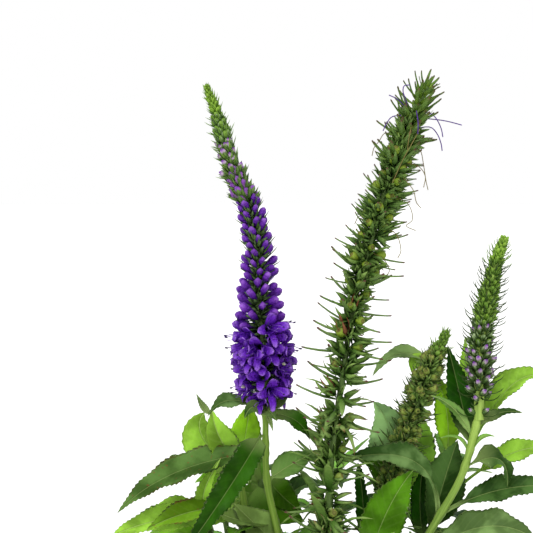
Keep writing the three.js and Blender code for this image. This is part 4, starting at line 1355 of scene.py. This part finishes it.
def flower(turns, *lobes):
    return joined(*(lobe(math.radians(t), *facts) for t, facts in zip(turns, lobes)))


def whorl(spine, halves, turned, thick, cup):
    """Four sepals round a flower."""
    return joined(*(blade(spine, halves, quarter + turned, thick, cup) for quarter in QUARTERS))


def moved(part, x, y, z):
    points, faces, rise = part
    return points + np.array([x, y, z]), faces, rise


def filament(x):
    spine = [(x * 0.4, 0.3, 4.5), (x * 1.2, 0.6, 7.2), (x * 2.0, 0.4, 9.6), (x * 2.5, -0.3, 11.4)]
    return thread(spine, 0.13)


open_lobes = [(1.3, 1, 0.3), (1, 1.02, 0.8), (0.8, 1.04, 1.0), (1, 0.98, 0.7)]
half_lobes = [(1.4, 1, -0.1), (1.1, 1, 0.2), (0.9, 1.06, 0.5), (1, 1.02, -0.1)]
style = thread([(0, 0, 4.5), (0.2, -0.6, 8), (0.5, -1.6, 11)], 0.1)
club = [(1.6, 0), (2.6, 0.6), (4.0, 0.85), (5.6, 1.25), (6.9, 1.3), (7.8, 0.8), (8.3, 0)]
capsule = [(2.0, 0), (2.4, 0.75), (3.4, 1.22), (4.4, 1.06), (4.85, 0.45), (4.6, 0)]
bract = [(0, 0.8), (-0.1, 2.6), (-0.05, 4.6), (0.2, 6.6), (0.5, 8.2)]
seed_bract = [(0, 1.0), (-0.3, 4.5), (-0.4, 8.0), (-0.2, 11.6), (0, 13.1), (0.1, 13.6)]
leafy_bract = [(0, 1.2), (0.7, 5), (0.5, 9), (-0.6, 12.5), (-2.2, 15.5)]
hair_bract = [(0, 1.4), (-0.6, 3.3), (-0.5, 5.3), (0.3, 7), (1.6, 8.2)]
keep_shape("open_flower", flower((4, 96, 176, 268), *open_lobes))
keep_shape("half_flower", flower((350, 88, 185, 277), *half_lobes))
keep_shape("calyx", whorl(CALYX, [0.35, 0.72, 0.52], 0.4, 0.16, 0.3))
keep_shape("filaments", joined(filament(-1), filament(1), style))
keep_shape("anthers", joined(*(moved(pod(ANTHER, 5), x * 2.55, -0.4, 11.7) for x in (-1, 1))))
keep_shape("club", pod(club, 8, 0.16))
keep_shape("throat", pod([(6.2, 0), (6.7, 0.5), (7.3, 0.55), (7.9, 0)], 6))
keep_shape("small_bud", pod([(1.2, 0), (1.8, 0.65), (3.0, 1.05), (3.9, 0.8), (4.6, 0)], 7, 0.06))
keep_shape("pointed_bud", pod([(1.2, 0), (1.8, 0.6), (3.0, 1.0), (4.2, 0.76), (5.2, 0)], 7, 0.06))
keep_shape("bract", blade(bract, [0.42, 0.5, 0.36, 0.2], 0, 0.24, 0.35))
keep_shape("seed_bract", blade(seed_bract, [0.6, 1.1, 0.85, 0.6, 0.42], 0, 0.5, 0.4))
keep_shape("leafy_bract", blade(leafy_bract, [0.5, 1.3, 1.4, 0.9], 0, 0.3, 0.3, BROAD))
keep_shape("hair_bract", blade(hair_bract, [0.5, 0.56, 0.44, 0.28], 0, 0.34, 0.3))
keep_shape("capsule", pod(capsule, 8, 0.05))
keep_shape("seed_calyx", whorl(SEPAL, [0.4, 0.92, 0.86, 0.5], 0.7, 0.2, 0.34))
keep_shape("spread_calyx", whorl(SPREAD_SEPAL, [0.38, 0.8, 0.62], 0.5, 0.2, 0.3))

# %% Finishes of the flowers
# Each row: roughness, size of the mottles and depth of the relief in mm, and then the colour on the 0 to
# 255 scale at shares of the way from foot to tip.
TISSUES = {
    # The pale tip of petal_violet is a painted highlight on the rims of the petals.
    "petal_violet": (0.5, 0.8, 0.5, (0, 78, 24, 156), (0.6, 112, 42, 196), (1, 184, 136, 236)),
    "bud_violet": (0.45, 0.8, 0.4, (0, 110, 90, 140), (0.4, 88, 30, 150), (0.75, 112, 50, 176),
                   (1, 148, 94, 198)),
    "bud_blush": (0.5, 0.8, 0.1, (0, 96, 116, 70), (0.5, 176, 142, 186), (0.8, 150, 92, 184)),
    "bud_tip": (0.5, 0.8, 0.1, (0, 96, 120, 66), (0.6, 112, 134, 82), (0.74, 204, 176, 212),
                (0.95, 124, 50, 172)),
    "bud_green": (0.55, 0.8, 0.1, (0, 60, 100, 20), (1, 134, 170, 72)),
    "bud_fresh": (0.55, 0.8, 0.1, (0, 92, 138, 20), (1, 156, 192, 76)),
    "calyx_green": (0.6, 0.7, 0.12, (0, 50, 80, 30), (0.55, 84, 114, 56), (1, 172, 192, 144)),
    "bract_green": (0.6, 0.8, 0.1, (0, 66, 100, 34), (0.7, 84, 112, 50), (1, 92, 88, 64)),
    "bract_dark": (0.6, 0.8, 0.1, (0, 62, 92, 30), (0.7, 62, 86, 38), (1, 58, 60, 46)),
    "calyx_dark": (0.6, 0.7, 0.12, (0, 48, 76, 30), (1, 100, 124, 78)),
    "seed_sepal_dark": (0.58, 0.9, 0.14, (0, 56, 90, 32), (1, 112, 142, 72)),
    "seed_sepal_green": (0.58, 0.9, 0.14, (0, 68, 108, 34), (1, 134, 162, 84)),
    "seed_sepal_light": (0.58, 0.9, 0.14, (0, 80, 120, 42), (1, 144, 170, 98)),
    "seed_sepal_pale": (0.58, 0.9, 0.14, (0, 92, 132, 48), (0.7, 146, 170, 98), (1, 136, 92, 66)),
    "seed_bract_green": (0.6, 1.0, 0.12, (0, 84, 120, 48), (0.6, 116, 142, 80), (0.82, 104, 66, 62)),
    "brush_green": (0.6, 1.0, 0.12, (0, 146, 178, 60), (0.45, 104, 136, 60), (0.9, 92, 66, 52)),
    "capsule_green": (0.42, 1.4, 0.12, (0, 134, 162, 44), (0.9, 142, 164, 58), (1, 110, 90, 50)),
    "short_capsule_green": (0.45, 1.2, 0.12, (0, 134, 158, 58), (0.9, 150, 164, 80), (1, 120, 110, 60)),
    "cream_throat": (0.6, 0.6, 0.05, (0, 236, 230, 200), (1, 240, 236, 214)),
    "violet_thread": (0.5, 1.0, 0.05, (0, 96, 52, 170), (1, 140, 96, 196)),
    "tan_thread": (0.6, 1.0, 0.05, (0, 150, 128, 84), (1, 128, 100, 76)),
    "anther_dark": (0.6, 0.4, 0.1, (0, 44, 26, 80), (1, 64, 40, 104)),
    "withered_brown": (0.7, 0.8, 0.2, (0, 92, 56, 36), (1, 146, 92, 64)),
}
GREEN_SHADOW, VIOLET_SHADOW = (0.4, 0.52, 0.26, 1), (0.46, 0.26, 0.56, 1)
VIOLETS = {"petal_violet": 0.35, "bud_violet": 0.45, "bud_blush": 0.3}  # mottled towards VIOLET_SHADOW


def organ_finish(name, roughness, feature, depth, *stops):
    """Tissue whose colour runs through its stops, lighter or darker from organ to organ."""
    material, graph = begin(name)
    rise, tone = attribute(graph, "rise"), attribute(graph, "tone")
    colour = tint(*stops[0][1:])
    for (low, *_), (high, *paint) in zip(stops, stops[1:]):
        colour = graph.mix(rise.ramp(low, high), colour, tint(*paint))
    mottle = speckle(graph, feature)
    shadow = VIOLET_SHADOW if name in VIOLETS else GREEN_SHADOW
    shaded = (1 - tone) * 0.5 + mottle * VIOLETS.get(name, 0.3)
    colour = graph.mix(shaded, colour, shadow, "MULTIPLY")
    end(graph, colour, roughness + mottle * 0.1, mottle, depth, shine=0.15)
    return material


tissues = {name: organ_finish(name, *row) for name, row in TISSUES.items()}
print("finishes of the flowers:", len(tissues))

# %% What stands on each spike
# Each row is a piece: its name, shape and tissue, the shares of the axis between which it stands, and the
# length of the shape that counts as its full reach. Then, where they aren't 1, 6, 0.1, 1 and 0: its girth,
# how many degrees it wobbles, how far it varies in size, and on one place in how many, counted from which.
OPEN, CLUBS, TIPS, GREEN = 0.235, 0.6, 0.8, 0.9  # where each stage of the spike in bloom ends
BRUSH = 0.88  # above this share of the spike in seed only slender bracts stand
END = 1.01  # past the last place


def dealt_sepals(turn, low_tissue, tissue, top_tissue, shape):
    """Sepals of one green on every third place of the spike in seed, with its leafy bracts."""
    return [
        (f"low_sepals_{turn}", shape, low_tissue, 0, 0.36, 6.4, 0.86, 34, 0.3, 3, turn),
        (f"sepals_{turn}", shape, tissue, 0.36, 0.62, 6.5, 0.9, 26, 0.25, 3, turn),
        (f"top_sepals_{turn}", shape, top_tissue, 0.62, 0.92, 6.6, 0.8, 26, 0.25, 3, turn),
        (f"leafy_bracts_{turn}", "leafy_bract", low_tissue, 0.12, 0.34, 19, 1.2, 60, 0.4, 3, turn),
    ]


ORGANS = {
    "bloom": [
        ("flowers", "open_flower", "petal_violet", 0.025, OPEN, 8.8, 1, 16, 0.14, 2),
        ("half_open_flowers", "half_flower", "petal_violet", 0.03, OPEN, 8.8, 1, 16, 0.14, 2, 1),
        ("throats", "throat", "cream_throat", 0, OPEN, 8.6, 1, 16, 0.1, 7, 3),
        ("filaments", "filaments", "violet_thread", 0, OPEN, 9.8, 1, 14, 0.1, 2),
        ("anthers", "anthers", "anther_dark", 0, OPEN, 9.8, 1, 14, 0.1, 2),
        ("inner_calyces", "calyx", "calyx_dark", OPEN, 0.7, 13, 1.5, 60),
        ("club_buds", "club", "bud_violet", OPEN, 0.42, 8.3, 0.9, 10, 0.14),
        ("slim_club_buds", "club", "bud_violet", 0.42, CLUBS, 8.7, 0.9, 12, 0.16),
        ("late_club_buds", "club", "bud_violet", CLUBS, 0.66, 8.8, 0.9, 12, 0.1, 2),
        ("blushing_buds", "small_bud", "bud_blush", CLUBS, 0.7, 4.8, 0.84, 12, 0.08),
        ("tipped_buds", "small_bud", "bud_tip", 0.7, TIPS, 4.5, 0.8, 12, 0.16),
        ("green_buds", "small_bud", "bud_green", TIPS, GREEN, 4.6, 1, 10),
        ("fresh_buds", "small_bud", "bud_fresh", GREEN, END, 4.6, 1, 10),
        ("lower_calyces", "calyx", "calyx_dark", 0, 0.42, 8.4, 1, 10),
        ("middle_calyces", "calyx", "calyx_dark", 0.42, CLUBS, 7, 1, 12),
        ("late_calyces", "calyx", "seed_sepal_dark", CLUBS, 0.78, 4.9, 1, 12),
        ("upper_calyces", "calyx", "calyx_green", 0.78, GREEN, 4.9, 1, 12),
        ("fresh_calyces", "calyx", "bud_fresh", GREEN, END, 4.7, 1, 10),
        ("bracts", "bract", "bract_green", 0, 0.7, 8.2, 1.2, 12, 0.16),
        ("upper_bracts", "bract", "bud_green", 0.7, END, 8.2, 1.4, 14, 0.2),
    ],
    "seed": [
        ("low_capsules", "capsule", "short_capsule_green", 0.06, 0.4, 7, 1, 18, 0.16, 4),
        ("capsules", "capsule", "capsule_green", 0.4, BRUSH, 6.9, 1, 18, 0.16, 2),
        *dealt_sepals(0, "seed_sepal_green", "seed_sepal_green", "seed_sepal_dark", "seed_calyx"),
        *dealt_sepals(1, "seed_sepal_light", "seed_sepal_light", "seed_sepal_green", "spread_calyx"),
        *dealt_sepals(2, "seed_sepal_pale", "seed_sepal_green", "seed_sepal_dark", "seed_calyx"),
        ("foot_bracts", "leafy_bract", "seed_sepal_green", 0, 0.18, 13.5, 0.95, 60, 0.4),
        ("low_inner_sepals", "spread_calyx", "seed_sepal_green", 0, 0.34, 8.5, 1.1, 80, 0.3, 2),
        ("inner_sepals", "spread_calyx", "seed_sepal_dark", 0.34, 0.9, 8.2, 1.1, 80, 0.3),
        ("outer_sepals", "spread_calyx", "seed_sepal_green", 0.34, 0.9, 7.4, 0.8, 90, 0.3, 2),
        ("low_bracts", "seed_bract", "seed_bract_green", 0, 0.26, 13.6, 1, 30, 0.2, 2),
        ("bracts", "seed_bract", "seed_bract_green", 0.26, BRUSH, 13.6, 1, 16, 0.16),
        ("withered_sepals", "seed_calyx", "withered_brown", 0.02, 0.5, 6.8, 0.6, 50, 0.4, 8, 4),
        ("brush", "seed_bract", "brush_green", BRUSH - 0.06, END, 13, 1.3, 20, 0.22),
    ],
    "short": [
        ("capsules", "capsule", "short_capsule_green", 0, 0.84, 4.7, 0.8, 18, 0.16, 3),
        ("more_capsules", "capsule", "short_capsule_green", 0, 0.84, 4.9, 0.8, 18, 0.16, 3, 1),
        ("buds", "small_bud", "bud_green", 0.84, END, 4.8),
        ("sepals", "seed_calyx", "seed_sepal_pale", 0, 0.88, 6.8, 0.7, 24, 0.2),
        ("inner_sepals", "spread_calyx", "seed_sepal_green", 0, 0.88, 6.4, 1.1, 70, 0.3),
        ("bracts", "bract", "bract_green", 0, 0.84, 8.2, 1.5, 20, 0.2),
        ("fresh_bracts", "bract", "bud_green", 0.84, END, 8.2, 1.4, 16, 0.2),
    ],
    "bud": [
        ("lower_buds", "pointed_bud", "bud_tip", 0, 0.33, 5, 0.84, 10),
        ("tipped_buds", "pointed_bud", "bud_tip", 0.33, 0.47, 5.2, 0.74, 10, 0.1, 3),
        ("dull_buds", "small_bud", "calyx_green", 0.33, 0.5, 5.2, 0.72, 9, 0.1, 3, 1),
        ("green_buds", "small_bud", "bud_green", 0.33, 0.84, 5.2, 0.72, 9, 0.1, 3, 2),
        ("upper_buds", "small_bud", "bud_fresh", 0.5, 0.84, 5.2, 0.72, 9, 0.1, 3, 1),
        ("fresh_buds", "small_bud", "bud_fresh", 0.84, END, 4.6),
        ("calyces", "calyx", "calyx_green", 0, 0.5, 4.9, 0.78, 9),
        ("upper_calyces", "calyx", "bud_green", 0.5, 0.84, 4.9, 0.78, 9),
        ("bracts", "hair_bract", "bract_dark", 0, 0.84, 7.6, 0.85, 9),
        ("fresh_bracts", "hair_bract", "bud_green", 0.84, END, 7.6, 1, 9),
    ],
}
print("kinds of organ:", sum(len(rows) for rows in ORGANS.values()))

# %% Set the organs round the axes
SLOTS = {"bloom": "bloom_spike", "seed": "seed_spike", "short": "seed_spike", "bud": "bud_spike"}
SPIRAL_SEED = 7


def set_organs(spike_name, piece, shape, tissue, low, high, nominal,
               girth=1, wobble=6.0, spread=0.1, every=1, offset=0):
    """Sets a shape on the places of a spike. Bracts take their own length and lift."""
    spike = SPIKES[spike_name]
    places = spike["places"]
    picked = (places["share"] >= low) & (places["share"] < high) & (places["number"] % every == offset)
    here = {key: values[picked] for key, values in places.items()}
    is_bract = shape.endswith("bract")
    lift = np.radians(between(spike["bract_lift" if is_bract else "lift"], here["share"]))
    length = between(spike["bract" if is_bract else "reach"], here["share"]) / nominal * MM
    if not is_bract:
        length = length / np.cos(lift)
    size = np.stack([length * girth, length * girth, length], 1)
    told = {key: here[key] for key in ("number", "along_axis", "front")}
    dots = line_mesh(piece, here["point"][:, None], **told, lift=lift, size=size)
    values = {"Shape": shapes[shape], "Wobble": wobble, "Spread": spread, "Finish": tissues[tissue]}
    spiral.grow(f"{spike_name}_{piece}", dots, f"spike_{spike_name}", SLOTS[spike_name],
                Golden_turn=GOLDEN_TURN, Seed=SPIRAL_SEED, **values)


for spike_name, rows in ORGANS.items():
    for row in rows:
        set_organs(spike_name, *row)
for shape in shapes.values():
    bpy.data.objects.remove(shape)

# %% Withered styles that hang from the spike in seed
# These few threads have places of their own, so they are swept along given paths.
VIOLET_STYLES = [
    [(28.6, -13, 196), (32.6, -14, 195.7), (34.8, -14, 194.1), (36.4, -14, 191), (37, -14, 188.2)],
    [(28.8, -13, 191), (33, -14, 191.3), (35.2, -14, 189.2), (36.4, -14, 186.3), (36.8, -14, 183.9)],
    [(31.5, -12, 194), (36.2, -12, 193.5), (39.4, -12, 192.9), (43.1, -12, 191.9)],
    [(28.4, -18.4, 196.4), (28.8, -20, 192.9), (28.8, -19.6, 189.2)],
    [(26, -13, 197), (25.3, -16, 199.7), (24.4, -16, 202.2), (24.7, -16, 204.1), (26.5, -16, 204.4)],
    [(25, -13, 198), (22.6, -14, 200.1), (20.1, -14, 201.3)],
    [(24, -13, 195), (21.1, -14, 194.5), (19.5, -14, 192.6), (18.3, -14, 190.1)],
]
TAN_STYLES = [
    [(26.8, -17, 192.4), (26.5, -20.4, 190.5), (25.9, -20.6, 187.4), (25.6, -19.4, 184.3)],
    [(29.6, -16, 190.6), (26.8, -20.6, 186.1), (24.1, -20.6, 181.2), (21, -19, 174.1)],
    [(27, -12, 184.6), (30, -12, 184.1), (31, -12, 180.4), (31.9, -12, 174.7), (32.6, -12, 171.6)],
    [(22.5, -12, 189), (19, -12, 189.4), (17.2, -12, 186.9), (15.6, -12, 184.8), (15, -12, 182.3)],
    [(12, -14, 160), (14, -14, 162), (11, -14, 163.5), (9.5, -14, 161)],
    [(26, -14, 180), (29.5, -15, 179), (31.5, -15, 176), (31, -15, 172.5)],
    [(24, -15, 176), (27.5, -17, 172), (28.6, -17, 168), (30.2, -16, 166)],
    [(22, -14, 170), (26.4, -15, 167), (27.6, -15, 162.5), (25.6, -15, 160.5), (28.6, -15, 159)],
    [(18, -14, 160), (22.4, -15, 158), (24, -15, 153), (23, -15, 150.4)],
    [(15, -14, 152), (18.6, -15, 150), (20.4, -15, 146.5), (18.8, -15, 144.2)],
]
STYLE_POINTS = 14


def hang_styles(name, styles, radius):
    lines = [Path(points).at(np.linspace(0, 1, STYLE_POINTS)) for points in styles]
    strings = line_mesh(name, lines, girth=np.full(STYLE_POINTS * len(lines), radius * MM))
    finish = tissues[f"{name}_thread"]
    stem_tree.grow(f"{name}_styles", strings, "spike_seed", "seed_spike", Sides=5, Ridge=0.0, Finish=finish)


hang_styles("violet", VIOLET_STYLES, 0.17)
hang_styles("tan", TAN_STYLES, 0.13)
print("threads:", len(VIOLET_STYLES) + len(TAN_STYLES))

# %% Axes of the spikes
BLUNT = 0.01  # share of its length over which an axis narrows to its tip

for name, spike in SPIKES.items():
    curve = Path(spike["path"])
    t = np.linspace(0, 1, round(curve.length / STEM_STEP))
    girth = between(spike["core"], t) * np.clip((1 - t) / BLUNT, 0.4, 1)
    strings = line_mesh(name, [curve.at(t)], girth=girth * MM)
    values = {"Sides": 12, "Ridge": 0.1 * MM, "Finish": stem_fresh if name == "bud" else stem_dull_and_shaded}
    stem_tree.grow(f"axis_{name}", strings, f"spike_{name}", SLOTS[name], **values)
print("axes:", len(SPIKES))

# %% Measure and finish
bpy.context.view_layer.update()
counts = {o.name: sum(len(p.vertices) - 2 for p in o.data.polygons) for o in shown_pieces()}
largest = max(counts, key=counts.get)
print("pieces:", len(counts), "triangles:", sum(counts.values()))
print("largest:", largest, counts[largest])
